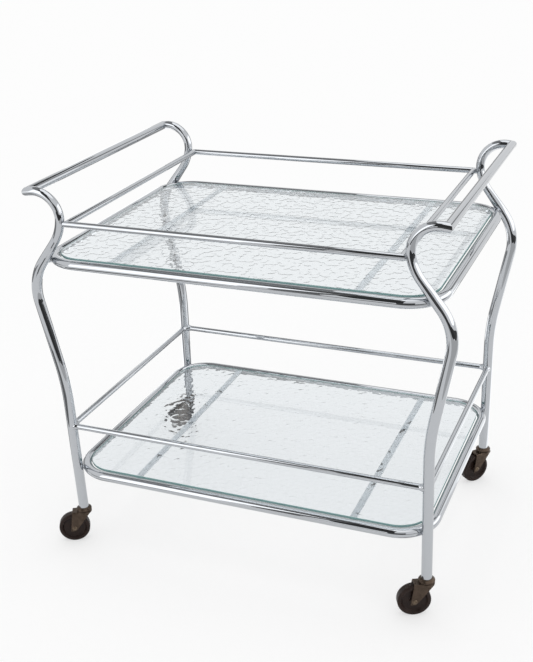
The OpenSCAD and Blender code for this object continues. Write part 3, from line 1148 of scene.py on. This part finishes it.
@dataclass(frozen=True)
class HammeredPlate:
    """A glass plate with ground edges, plain on top and hammered below, in millimetres.

    The underside is a field of shallow dimples, each around a scattered middle, modelled for
    real, so that what lies behind the glass breaks up in it. Two point attributes guide the
    finish: "ridge" is high halfway between two middles and weighs the painted shade along the
    ridges, and "rolled" weighs its crests.
    """

    name: str
    half_x: float
    half_y: float
    corner_r: float
    top: float
    thick: float
    seed: int
    mesh_step: float = 2.25
    cell: float = 15.5
    row_share: float = 0.87
    scatter: float = 0.42
    bowl_share: float = 0.62
    bowl_power: int = 3
    force: tuple[float, float] = (0.65, 1.35)
    dimple: float = 0.1
    relief: float = 1.0
    rim: float = 5.0
    arris: float = 0.9
    painted_ridge_shade_w: float = 1.9

    def build(self) -> bpy.types.Object:
        """Makes the plate.

        Returns:
            The closed plate, with its ridges marked in a point attribute for the painted shade.
        """
        clear_bench()
        bpy.ops.mesh.primitive_grid_add(
            x_subdivisions=round(2 * self.half_x / self.mesh_step),
            y_subdivisions=round(2 * self.half_y / self.mesh_step),
            size=1,
            location=Vector((0, 0, self.top - self.thick)) * MM,
        )
        plate = bpy.context.object
        plate.name = plate.data.name = self.name
        plate.scale = Vector((2 * self.half_x * MM, 2 * self.half_y * MM, 1))
        settle(plate)
        for vertex in plate.data.vertices:
            vertex.co = self.rounded(vertex.co)
        open_edit(plate, "FACE")
        bpy.ops.mesh.select_all(action="SELECT")
        lift = Vector((0, 0, self.thick * MM))
        bpy.ops.mesh.extrude_region_move(TRANSFORM_OT_translate={"value": lift})
        bpy.ops.mesh.dissolve_faces()
        close_edit()
        face_out(plate)
        self.grind(plate)
        self.hammer(plate)
        smooth(plate)
        return plate

    def past_corner(self, place: Vector) -> tuple[float, float]:
        """How far a point lies past the middles of the corner arcs, along X and along Y."""
        r = self.corner_r * MM
        return abs(place.x) - (self.half_x * MM - r), abs(place.y) - (self.half_y * MM - r)

    def on_edge(self, place: Vector) -> bool:
        """Whether a point lies in the ground edge band, outside the rolled faces.

        Args:
            place: point in metres.

        Returns:
            True in the band.
        """
        r = (self.corner_r - self.arris) * MM
        over_x, over_y = self.past_corner(place)
        if over_x > 0 and over_y > 0:
            return math.hypot(over_x, over_y) > r
        return max(over_x, over_y) > r

    def rounded(self, place: Vector) -> Vector:
        """Draws the square corners of the grid in to the plate's round ones.

        Args:
            place: point of the square grid in metres.

        Returns:
            The point's place in the round-cornered plate.
        """
        r = self.corner_r * MM
        over_x, over_y = self.past_corner(place)
        if over_x <= 0 or over_y <= 0:
            return place
        draw = max(over_x, over_y) / math.hypot(over_x, over_y)
        return Vector(
            (
                math.copysign(self.half_x * MM - r + over_x * draw, place.x),
                math.copysign(self.half_y * MM - r + over_y * draw, place.y),
                place.z,
            )
        )

    def grind(self, plate: bpy.types.Object) -> None:
        """Rounds the two outline edges as a ground arris.

        Args:
            plate: closed plate with square edges.
        """
        open_edit(plate, "EDGE")

        def outline(edge: bmesh.types.BMEdge) -> bool:
            """Whether an edge lies between a level face and the upright edge band."""
            ups = [abs(face.normal.z) for face in edge.link_faces]
            return len(ups) == 2 and max(ups) > LEVEL_NORMAL and min(ups) < UPRIGHT_NORMAL

        pick(plate, "EDGE", outline)
        bpy.ops.mesh.bevel(offset=self.arris * MM, segments=3, affect="EDGES")
        close_edit()
        face_out(plate)

    def middles(self) -> Iterator[tuple[float, float]]:
        """Scattered middles of the dimples, row by row.

        Returns:
            X and Y of each middle in turn, in millimetres.
        """
        draw = random.Random(self.seed)
        rows = math.ceil(2 * self.half_y / (self.cell * self.row_share)) + 2
        columns = math.ceil(2 * self.half_x / self.cell) + 2
        for row in range(rows):
            for column in range(columns):
                shift = 0.5 * (row % 2)
                x = (column + shift + draw.uniform(-1, 1) * self.scatter) * self.cell
                y = (row + draw.uniform(-1, 1) * self.scatter) * self.cell * self.row_share
                yield x - self.half_x - self.cell, y - self.half_y - self.cell

    def hammer(self, plate: bpy.types.Object) -> None:
        """Presses the dimples into the underside and marks their ridges for the painted shade.

        Args:
            plate: ground plate.
        """
        spots = list(self.middles())
        draw = random.Random(self.seed + 1)
        force = [draw.uniform(*self.force) for _ in spots]
        tree = KDTree(len(spots))
        for index, (x, y) in enumerate(spots):
            tree.insert((x, y, 0), index)
        tree.balance()
        # point attribute that weighs the painted shade along the ridges
        painted_ridge_shade = plate.data.attributes.new("painted_ridge_shade", "FLOAT", "POINT")
        rolled = plate.data.attributes.new("rolled", "FLOAT", "POINT")
        under = (self.top - self.thick) * MM + WELD_DISTANCE / 2
        for vertex in plate.data.vertices:
            if vertex.co.z > under:
                continue
            x, y = vertex.co.x / MM, vertex.co.y / MM
            (_, first, near), (_, _, far) = tree.find_n((x, y, 0), 2)
            margin = min(self.half_x - abs(x), self.half_y - abs(y))
            fade = min(1.0, max(0.0, (margin - self.arris) / self.rim))
            bowl = max(0.0, 1 - (near / (self.cell * self.bowl_share)) ** self.bowl_power)
            between = (far - near) / 2
            vertex.co.z += self.dimple * force[first] * bowl * fade * MM
            # painted shade weight: highest halfway between two middles
            painted_ridge_shade.data[vertex.index].value = fade * math.exp(-((between / self.painted_ridge_shade_w) ** 2))
            rolled.data[vertex.index].value = fade * self.relief


@dataclass(frozen=True)
class Gallery:
    """The gallery rails over both shelves and the brazing at their ends, in millimetres."""

    leg: LegTube
    rail_d: float = 11.0
    rail_sides: int = 56
    upper_x: float = 296.0
    upper_y: float = 252.2
    upper_z: float = 661.5
    lower_z: float = 255.2
    into_leg: float = 6.0
    bead_drop: float = 1.2

    def rail(self, name: str, start: Vector, stop: Vector) -> bpy.types.Object:
        """Cuts a straight rail between two axis points given in millimetres.

        Args:
            name: name of the rail.
            start: one end.
            stop: the other end.

        Returns:
            The closed rail.
        """
        run = stop - start
        radius = self.rail_d / 2 * MM
        tube = TubeBender(name, start * MM, run, radius, sides=self.rail_sides)
        tube.straight(run.length * MM)
        tube.close_end()
        return tube.done()

    def build(self, finishes: Finishes) -> None:
        """Makes all rails and their brazing.

        Args:
            finishes: the trolley's materials.
        """
        self.upper_rails(finishes)
        self.lower_rails(finishes)
        self.upper_brazing(finishes)
        self.lower_brazing(finishes)

    def upper_rails(self, finishes: Finishes) -> None:
        """Makes the four upper rails, mitred to each other.

        Args:
            finishes: the trolley's materials.
        """
        x, y, z = self.upper_x, self.upper_y, self.upper_z
        past = self.rail_d
        runs = {
            "front": (Vector((0, -1, 0)), Vector((1, 0, 0)), x),
            "back": (Vector((0, 1, 0)), Vector((1, 0, 0)), x),
            "left": (Vector((-1, 0, 0)), Vector((0, 1, 0)), y),
            "right": (Vector((1, 0, 0)), Vector((0, 1, 0)), y),
        }
        for name, (out, along, half) in runs.items():
            middle = Vector((out.x * x, out.y * y, z))
            reach = along * (half + past)
            rail = self.rail(f"upper_gallery_{name}", middle - reach, middle + reach)
            for way in (-1, 1):
                corner = (middle + along * way * half) * MM
                trim(rail, corner, (along * way - out).normalized())
            smooth(rail)
            ride(rail, ROOT_BODY, "chrome", finishes.chrome, f"upper_rail_{name}")

    def lower_rails(self, finishes: Finishes) -> None:
        """Makes the four lower rails, which end in the legs.

        Args:
            finishes: the trolley's materials.
        """
        x, z = self.leg.foot[0], self.lower_z
        y = self.leg.axis_y(z)
        along_x, along_y = Vector((x - self.into_leg, 0, 0)), Vector((0, y - self.into_leg, 0))
        runs = [(end, Vector((0, end.value * y, z)), along_x) for end in End]
        runs += [(side, Vector((side.value * x, 0, z)), along_y) for side in Side]
        for way, middle, reach in runs:
            name = way.name.lower()
            rail = self.rail(f"lower_gallery_{name}", middle - reach, middle + reach)
            ride(rail, ROOT_BODY, "chrome", finishes.chrome, f"lower_rail_{name}")

    def upper_brazing(self, finishes: Finishes) -> None:
        """Makes the small necks between the upper rail corners and the legs.

        Args:
            finishes: the trolley's materials.
        """
        y = self.leg.axis_y(self.upper_z)
        centre = Vector((self.upper_x, y, self.upper_z - self.bead_drop)) * MM
        profile = [
            (2.0, 4.6),
            (4.2, 4.5),
            (5.6, 3.9),
            (6.6, 3.9),
            (8.0, 4.6),
            (10.0, 4.9),
        ]
        bead = turned("rail_bead", centre, Vector((1, 0, 0)), profile, sides=BEAD_SIDES)
        whole = at_corners(bead, "upper_gallery_brazing")
        ride(whole, ROOT_BODY, "brazing", finishes.brazing, "upper_rail_lugs")

    def lower_brazing(self, finishes: Finishes) -> None:
        """Makes the flared brazing where the lower rails meet the legs.

        Args:
            finishes: the trolley's materials.
        """
        z = self.lower_z
        centre = Vector((self.leg.foot[0], self.leg.axis_y(z), z)) * MM
        profile = [
            (5.4, 7.4),
            (8.6, 7.4),
            (10.0, 6.9),
            (11.2, 6.45),
            (12.6, 6.05),
            (14.0, 5.8),
            (15.3, 5.68),
            (15.5, 5.4),
            (14.8, 5.2),
        ]
        flares = [
            turned(f"flare_{i}", centre, way, profile, sides=32)
            for i, way in enumerate((Vector((-1, 0, 0)), Vector((0, -1, 0))))
        ]
        pair = join("flare_pattern", flares)
        smooth(pair)
        whole = at_corners(pair, "lower_gallery_brazing")
        ride(whole, ROOT_BODY, "brazing", finishes.brazing, "lower_rail_brazing")


@dataclass(frozen=True)
class Caster:
    """A swivel caster: domed cap, folded fork, rivet and wheel, in millimetres.

    The pattern pieces stand on the swivel axis with the wheel towards +X.
    """

    leg: LegTube
    trail: float = 22.0
    axle_z: float = 30.0
    wheel_d: float = 60.0
    wheel_w: float = 17.0
    hub_w: float = 17.6
    hub_d: float = 16.0
    bore_r: float = 3.05
    fork_t: float = 2.0
    fork_top: float = 64.7
    fork_start: float = -14.0
    plate_back: float = 23.3
    toe_r: float = 4.6
    edge_round: float = 0.35
    cheek_in: float = 9.1
    cheek_r: float = 6.6
    lead: tuple[float, float] = (-2.5, 51.5)
    crown_d: float = 29.2
    crown_h: float = 1.6
    cap_low: float = 66.7
    cap_d: float = 29.6
    fold_r: float = 2.6
    directions: dict[str, float] = field(
        default_factory=lambda: {
            "front_left": 209.0,
            "front_right": 206.0,
            "back_left": 200.0,
            "back_right": 229.0,
        }
    )

    def axle(self) -> Vector:
        """Middle of the wheel in the pattern, in millimetres."""
        return Vector((self.trail, 0, self.axle_z))

    def place(self, corner: Corner) -> Matrix:
        """Matrix from the pattern to a corner's caster at rest.

        Args:
            corner: where the caster stands.

        Returns:
            The matrix, in metres.
        """
        x, y = self.leg.foot[:2]
        spot = Vector((corner.side.value * x, corner.end.value * y, 0)) * MM
        turn = math.radians(self.directions[corner.name])
        return Matrix.Translation(spot) @ Matrix.Rotation(turn, 4, "Z")

    def build(self, finishes: Finishes) -> None:
        """Makes the pattern pieces and copies them to the four corners.

        Args:
            finishes: the trolley's materials.
        """
        patterns = {
            "cap": (self.cap(), "caster_metal", finishes.bronze),
            "fork": (self.fork(), "caster_metal", finishes.bronze),
            "axle": (self.rivet(), "rivet", finishes.rivet),
            "wheel": (self.wheel(), "wheel", finishes.rubber),
        }
        words = {"cap": "domed_cap", "fork": "folded_fork", "axle": "axle_rivet", "wheel": "tread"}
        for corner in CORNERS:
            bodies = {
                "cap": ROOT_BODY,
                "fork": f"caster_{corner.name}",
                "axle": f"caster_{corner.name}",
                "wheel": f"wheel_{corner.name}",
            }
            for kind, (pattern, slot, finish) in patterns.items():
                copy = copy_to(pattern, f"{words[kind]}_{corner.name}", self.place(corner))
                ride(copy, bodies[kind], slot, finish, f"{kind}_{corner.name}")
        for pattern, _, _ in patterns.values():
            drop(pattern)

    def cap(self) -> bpy.types.Object:
        """Spins the domed cap that the leg stands in.

        Returns:
            The pattern of the cap.
        """
        top = self.leg.foot[2]
        rim = self.cap_d / 2
        profile = [
            (self.cap_low, 5.0),
            (self.cap_low, rim - 1.6),
            (self.cap_low + 0.3, rim - 0.6),
            (self.cap_low + 1.0, rim),
            (self.cap_low + 2.4, rim),
            (self.cap_low + 3.3, rim - 0.35),
            (self.cap_low + 4.0, rim - 1.2),
            (self.cap_low + 4.7, rim - 2.3),
            (self.cap_low + 5.5, rim - 3.3),
            (self.cap_low + 6.1, rim - 4.0),
            (top, rim - 4.5),
            (top, 5.0),
        ]
        return turned("cap_pattern", Vector(), Vector((0, 0, 1)), profile)

    def fork(self) -> bpy.types.Object:
        """Folds the fork from sheet and presses its crown.

        Returns:
            The pattern of the fork with its crown.
        """
        outer = self.cheek_in + self.fork_t
        low, high = self.axle_z - self.cheek_r, self.fork_top
        left, right = self.fork_start, self.trail + self.cheek_r + 1
        fork = block(
            "fork_pattern",
            Vector(((left + right) / 2, 0, (low + high) / 2)),
            Vector((right - left, 2 * outer, high - low)),
        )
        open_edit(fork, "FACE")
        pick(fork, "FACE", lambda face: face.normal.z < -0.5 or abs(face.normal.x) > 0.5)
        bpy.ops.mesh.delete(type="FACE")

        def folded(edge: bmesh.types.BMEdge) -> bool:
            """Whether an edge is one of the two long folds."""
            level = all(abs(v.co.z - high * MM) < SAME_PLACE for v in edge.verts)
            return level and len(edge.link_faces) == 2

        pick(fork, "EDGE", folded)
        bpy.ops.mesh.bevel(offset=self.fold_r * MM, segments=6, affect="EDGES")
        close_edit()
        face_out(fork)
        wall = fork.modifiers.new("sheet", "SOLIDIFY")
        wall.thickness = self.fork_t * MM
        wall.offset = -1
        wall.use_even_offset = True
        take(fork)
        bpy.ops.object.modifier_apply(modifier=wall.name)
        self.cut_cheeks(fork)
        smooth(fork)
        return join("fork_pattern", [fork, self.crown()])

    def cut_cheeks(self, fork: bpy.types.Object) -> None:
        """Saws the slanting edges of the cheeks and rounds their feet around the axle.

        Args:
            fork: folded sheet.
        """
        axle = self.axle()
        back = Vector((self.plate_back, 0, self.fork_top))
        for tip, outward in ((back, 1), (Vector((self.lead[0], 0, self.lead[1])), -1)):
            reach = axle - tip
            span = reach.length
            swing = math.asin(self.cheek_r / span) * outward
            line = Quaternion((0, 1, 0), -swing) @ reach.normalized()
            normal = Vector((-line.z, 0, line.x)).normalized()
            if normal.x * outward < 0:
                normal = -normal
            trim(fork, tip * MM, normal)
        open_edit(fork, "EDGE")

        def toe(edge: bmesh.types.BMEdge) -> bool:
            """Whether an edge crosses the sheet at a lower corner of a cheek.

            Args:
                edge: edge of the fork's mesh.

            Returns:
                True for such an edge.
            """
            a, b = (v.co for v in edge.verts)
            flat = abs(a.x - b.x) < SAME_PLACE and abs(a.z - b.z) < SAME_PLACE
            return flat and abs(a.z - (axle.z - self.cheek_r) * MM) < WELD_DISTANCE / 2

        found = pick(fork, "EDGE", toe)
        LOG.info("fork toes rounded at %d edges", found)
        bpy.ops.mesh.bevel(offset=self.toe_r * MM, segments=8, affect="EDGES")
        close_edit()
        face_out(fork)
        soften(fork, self.edge_round, angle=40)

    def crown(self) -> bpy.types.Object:
        """Turns the round crown pressed up around the king pin.

        Returns:
            The crown, to be joined to the fork.
        """
        rim = self.crown_d / 2
        low = self.fork_top - 3.0
        top = self.fork_top + self.crown_h
        profile = [
            (low + 1.6, 5.2),
            (low + 1.2, rim - 2.0),
            (low, rim - 1.4),
            (low, rim - 0.3),
            (low + 0.5, rim),
            (top - 1.2, rim),
            (top - 0.5, rim - 0.3),
            (top - 0.1, rim - 0.9),
            (top, rim - 1.6),
            (top, 5.2),
        ]
        return turned("crown_pattern", Vector(), Vector((0, 0, 1)), profile)

    def rivet(self) -> bpy.types.Object:
        """Turns the axle rivet with its two domed heads.

        Returns:
            The pattern of the rivet.
        """
        outer = self.cheek_in + self.fork_t
        head = [
            (outer - 0.1, 4.7),
            (outer + 0.35, 4.75),
            (outer + 0.9, 4.3),
            (outer + 1.3, 3.4),
            (outer + 1.55, 2.0),
            (outer + 1.6, 1.0),
        ]
        profile = [(-d, r) for d, r in reversed(head)] + [(-outer + 0.2, 2.9), (outer - 0.2, 2.9)]
        profile += head
        return turned("rivet_pattern", self.axle() * MM, Vector((0, 1, 0)), profile, sides=32)

    def wheel(self) -> bpy.types.Object:
        """Turns the wheel: rounded tread with a mould line, raised rim, dished web and hub.

        Returns:
            The pattern of the wheel.
        """
        r, half = self.wheel_d / 2, self.wheel_w / 2
        web, hub = half - 4.5, self.hub_d / 2
        side = [
            (self.hub_w / 2, self.bore_r),
            (self.hub_w / 2, hub - 1.0),
            (self.hub_w / 2 - 0.5, hub - 0.2),
            (web + 1.4, hub),
            (web + 0.3, hub + 0.6),
            (web, hub + 1.6),
            (web, r - 10.2),
            (web + 0.2, r - 9.0),
            (web + 1.2, r - 8.0),
            (half - 0.9, r - 6.6),
            (half - 0.2, r - 6.1),
            (half, r - 5.2),
            (half, r - 3.4),
            (half - 0.25, r - 2.2),
            (half - 0.9, r - 1.1),
            (half - 1.9, r - 0.35),
            (half - 3.0, r - 0.05),
            (0.45, r - 0.02),
            (0.25, r),
        ]
        profile = side + [(-d, radius) for d, radius in reversed(side)] + [side[0]]
        across = Vector((0, 1, 0))
        return turned("wheel_pattern", self.axle() * MM, across, profile, sides=72, ring=True)


# The studio


def seen_ray(tree: bpy.types.NodeTree, mirrored: float = 1.0) -> bpy.types.NodeSocket:
    """Whether a ray comes from the camera, also by way of glass or metal.

    Args:
        tree: node tree that asks.
        mirrored: how much a ray by way of metal counts.

    Returns:
        Socket with 1 for seen rays and 0 for the light's own.
    """
    path = add_node(tree, "ShaderNodeLightPath")
    part = {0: path.outputs["Is Glossy Ray"], 1: mirrored}
    metal = add_node(tree, "ShaderNodeMath", part, operation="MULTIPLY").outputs["Value"]
    seen = path.outputs["Is Camera Ray"]
    for other in (metal, path.outputs["Is Transmission Ray"]):
        both = {0: seen, 1: other}
        seen = add_node(tree, "ShaderNodeMath", both, operation="MAXIMUM").outputs["Value"]
    return seen


@dataclass(frozen=True)
class Card:
    """A studio card that only shows in reflections: a lit softbox or a dark flag.

    Direction and size are seen from the middle of the trolley, in degrees. Azimuth 0 is
    towards the back and 90 towards the right.
    """

    name: str
    azimuth: float
    elevation: float
    width: float
    height: float
    level: float
    distance: float = 4.0

    def build(self, middle: Vector) -> None:
        """Stands the card up, facing the trolley.

        Args:
            middle: middle of the trolley in metres.
        """
        a, e = math.radians(self.azimuth), math.radians(self.elevation)
        way = Vector((math.sin(a) * math.cos(e), math.cos(a) * math.cos(e), math.sin(e)))
        clear_bench()
        bpy.ops.mesh.primitive_plane_add(
            size=2,
            location=middle + way * self.distance,
            rotation=(-way).to_track_quat("Z", "Y").to_euler(),
        )
        spread = [math.tan(math.radians(v / 2)) * self.distance for v in (self.width, self.height)]
        self.light_up(bpy.context.object, spread)

    def light_up(self, card: bpy.types.Object, spread: Sequence[float]) -> None:
        """Sizes the card, lets it show in reflections only and sets its level.

        Args:
            card: plane two metres wide, in place.
            spread: half its width and half its height in metres.
        """
        card.name = card.data.name = self.name
        card.scale = (spread[0], spread[1], 1)
        settle(card)
        for other in ("camera", "diffuse", "transmission", "volume_scatter", "shadow"):
            setattr(card, f"visible_{other}", False)
        material, tree = new_tree(f"{self.name}_light")
        glow = add_node(tree, "ShaderNodeEmission", {"Color": WHITE, "Strength": self.level})
        add_node(tree, "ShaderNodeOutputMaterial", {"Surface": glow.outputs["Emission"]})
        material.cycles.emission_sampling = "NONE"
        card.data.materials.append(material)
        card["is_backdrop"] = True


@dataclass(frozen=True)
class FloorCard(Card):
    """A card that lies flat on the floor, from a near to a far distance in metres."""

    near: float = 2.3
    far: float = 5.5
    lift: float = 0.002

    def build(self, middle: Vector) -> None:
        """Lays the card down on the side of its azimuth.

        Args:
            middle: middle of the trolley, which a card on the floor doesn't use.
        """
        a = math.radians(self.azimuth)
        way = Vector((math.sin(a), math.cos(a), 0))
        clear_bench()
        bpy.ops.mesh.primitive_plane_add(
            size=2,
            location=way * (self.near + self.far) / 2 + Vector((0, 0, self.lift)),
            rotation=(0, 0, -a),
        )
        half = math.tan(math.radians(self.width / 2)) * (self.near + self.far) / 2
        self.light_up(bpy.context.object, (half, (self.far - self.near) / 2))


@dataclass(frozen=True)
class Studio:
    """White floor, white surroundings, soft light from above and reflection cards."""

    middle: Vector = Vector((0, 0, 0.36))
    floor_half: float = 30.0
    floor_colour: str = "F7F7F7"
    floor_white_share: float = 0.56
    floor_mirrored: float = 0.2
    white: float = 0.98
    surroundings: float = 0.86
    key_strength: float = 0.62
    key_spread: float = 70.0
    key_tilt: tuple[float, float] = (-6.0, 4.0)
    cards: tuple[Card, ...] = (
        Card("softbox_right", 76, 18, 74, 30, 2.1),
        Card("softbox_front_left", 210, 15, 18, 60, 2.1),
        FloorCard("flag_right_low", 106, 0, 64, 0, 0.08, near=2.0),
        FloorCard("flag_front_low", 160, 0, 56, 0, 0.05, near=1.75, lift=0.0025),
        FloorCard("flag_left_low", 265, 0, 50, 0, 0.3, lift=0.003),
        FloorCard("grey_floor_behind", 327, 0, 78, 0, 0.42, near=0.22, far=3.0),
        FloorCard("grey_floor_far", 325, 0, 92, 0, 0.42, near=3.0, far=7.0),
        Card("grey_wall_behind", 327, 6, 96, 16, 0.45, 4.4),
        Card("flag_camera", 167, 4, 42, 32, 0.1, 3.8),
        Card("softbox_edge", 197, 20, 4, 50, 0.2, 3.9),
        Card("flag_camera_high", 183, 36, 21, 50, 0.05, 3.6),
        Card("flag_camera_top", 200, 62, 18, 18, 0.08, 3.5),
        Card("flag_overhead", 262, 66, 104, 22, 0.3),
        Card("flag_back_high", 4, 44.5, 30, 10, 0.07),
        Card("flag_back_right", 25, 28, 9, 26, 0.35),
        FloorCard("bright_floor_left", 305, 0, 40, 0, 2.0, near=0.62, far=1.18, lift=0.004),
        FloorCard("grey_floor_right", 125, 0, 90, 0, 0.62, near=0.95, far=1.95, lift=0.001),
        FloorCard("bright_floor_right", 37, 0, 16, 0, 1.6, near=0.45, far=3.1, lift=0.004),
        FloorCard("grey_floor_left", 222, 0, 36, 0, 0.2, near=0.85, far=1.3, lift=0.003),
        Card("softbox_right_back", 36, 6, 9, 20, 1.5, 3.2),
        Card("softbox_left_back", 321, 4, 8, 26, 1.6, 3.2),
    )

    def build(self) -> None:
        """Makes the floor, the world, the lamp and the cards."""
        self.floor()
        self.world()
        self.lamp()
        for card in self.cards:
            card.build(self.middle)

    def floor(self) -> None:
        """Lays the plain pale floor."""
        clear_bench()
        bpy.ops.mesh.primitive_plane_add(size=2 * self.floor_half, location=(0, 0, 0))
        floor = bpy.context.object
        floor.name = floor.data.name = "studio_floor"
        material, tree = new_tree("matt_white_paper")
        paper = add_node(
            tree,
            "ShaderNodeBsdfDiffuse",
            {"Color": linear(self.floor_colour), "Roughness": 0.0},
        )
        white = add_node(tree, "ShaderNodeEmission", {"Color": WHITE, "Strength": self.white})
        share = add_node(
            tree,
            "ShaderNodeMath",
            {0: seen_ray(tree, self.floor_mirrored), 1: self.floor_white_share},
            operation="MULTIPLY",
        )
        shader = add_node(
            tree,
            "ShaderNodeMixShader",
            {0: share.outputs["Value"], 1: paper.outputs["BSDF"], 2: white.outputs["Emission"]},
        )
        add_node(tree, "ShaderNodeOutputMaterial", {"Surface": shader.outputs["Shader"]})
        floor.data.materials.append(material)
        floor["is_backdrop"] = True

    def world(self) -> None:
        """Makes the white surroundings, white at full strength wherever they are seen."""
        world = bpy.data.worlds.new("white_studio")
        bpy.context.scene.world = world
        world.use_nodes = True
        tree = world.node_tree
        tree.nodes.clear()
        light, white = (
            add_node(tree, "ShaderNodeBackground", {"Color": WHITE, "Strength": strength})
            for strength in (self.surroundings, 1.0)
        )
        mix = add_node(
            tree,
            "ShaderNodeMixShader",
            {0: seen_ray(tree), 1: light.outputs["Background"], 2: white.outputs["Background"]},
        )
        add_node(tree, "ShaderNodeOutputWorld", {"Surface": mix.outputs["Shader"]})

    def lamp(self) -> None:
        """Hangs the broad soft key light overhead."""
        data = bpy.data.lights.new("overhead_key", "SUN")
        data.energy = self.key_strength
        data.angle = math.radians(self.key_spread)
        lamp = bpy.data.objects.new("overhead_key", data)
        lamp.rotation_euler = (*map(math.radians, self.key_tilt), 0)
        bpy.context.scene.collection.objects.link(lamp)


@dataclass(frozen=True)
class Viewpoint:
    """The photograph's camera: place in metres, angles in radians, lens in millimetres."""

    place: Vector = Vector((0.6988, -1.7250, 1.2160))
    yaw: float = 0.404499
    pitch: float = 0.415362
    roll: float = -0.041561
    lens: float = 71.85
    sensor: float = 36.0
    farthest: float = 200.0

    def build(self) -> None:
        """Makes the camera."""
        right = Vector((math.cos(self.yaw), math.sin(self.yaw), 0))
        ahead = Vector(
            (
                -math.sin(self.yaw) * math.cos(self.pitch),
                math.cos(self.yaw) * math.cos(self.pitch),
                -math.sin(self.pitch),
            )
        )
        up = right.cross(ahead)
        level = right * math.cos(self.roll) + up * math.sin(self.roll)
        rise = up * math.cos(self.roll) - right * math.sin(self.roll)
        data = bpy.data.cameras.new("photo_view")
        data.lens = self.lens
        data.sensor_width = self.sensor
        data.sensor_fit = "HORIZONTAL"
        data.clip_end = self.farthest
        camera = bpy.data.objects.new("photo_view", data)
        axes = Matrix((level, rise, -ahead)).transposed().to_4x4()
        camera.matrix_world = Matrix.Translation(self.place) @ axes
        bpy.context.scene.collection.objects.link(camera)
        bpy.context.scene.camera = camera


def dress_hidden(finishes: Finishes) -> None:
    """Gives the CAD nodes that stay their finish.

    Args:
        finishes: the trolley's materials.
    """
    for name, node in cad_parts.items():
        if node.hide_render:
            continue
        for slot in node.material_slots:
            slot.material = finishes.steel
        LOG.info("%s keeps its solid", name)


def main() -> None:
    """Builds the trolley and its studio in order."""
    logging.basicConfig(level=logging.INFO, format="%(message)s")
    bpy.context.scene.view_settings.view_transform = "Standard"
    Viewpoint().build()
    finishes = Finishes()
    leg = LegTube()
    leg.build(finishes)
    upper = ShelfFrame(
        level="upper",
        height=587.985,
        half_x=354.03,
        half_y=255.45,
        corner_r=64.0,
        strap_x=222.0,
        leg_at=(353.73, 249.35),
        leg_r=9.3,
        seed=7,
    )
    lower = ShelfFrame(
        level="lower",
        height=161.0,
        half_x=345.3,
        half_y=249.89,
        corner_r=67.0,
        strap_x=211.0,
        leg_at=(343.6, 238.69),
        leg_r=9.5,
        seed=19,
        relief=0.45,
        dimple=0.4,
    )
    for shelf in (upper, lower):
        shelf.build(finishes)
    Gallery(leg).build(finishes)
    Caster(leg).build(finishes)
    dress_hidden(finishes)
    Studio().build()
    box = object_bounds()
    [[list(corner) for corner in pair] for pair in (CAD_BOX, box)]


if __name__ == "__main__":
    main()
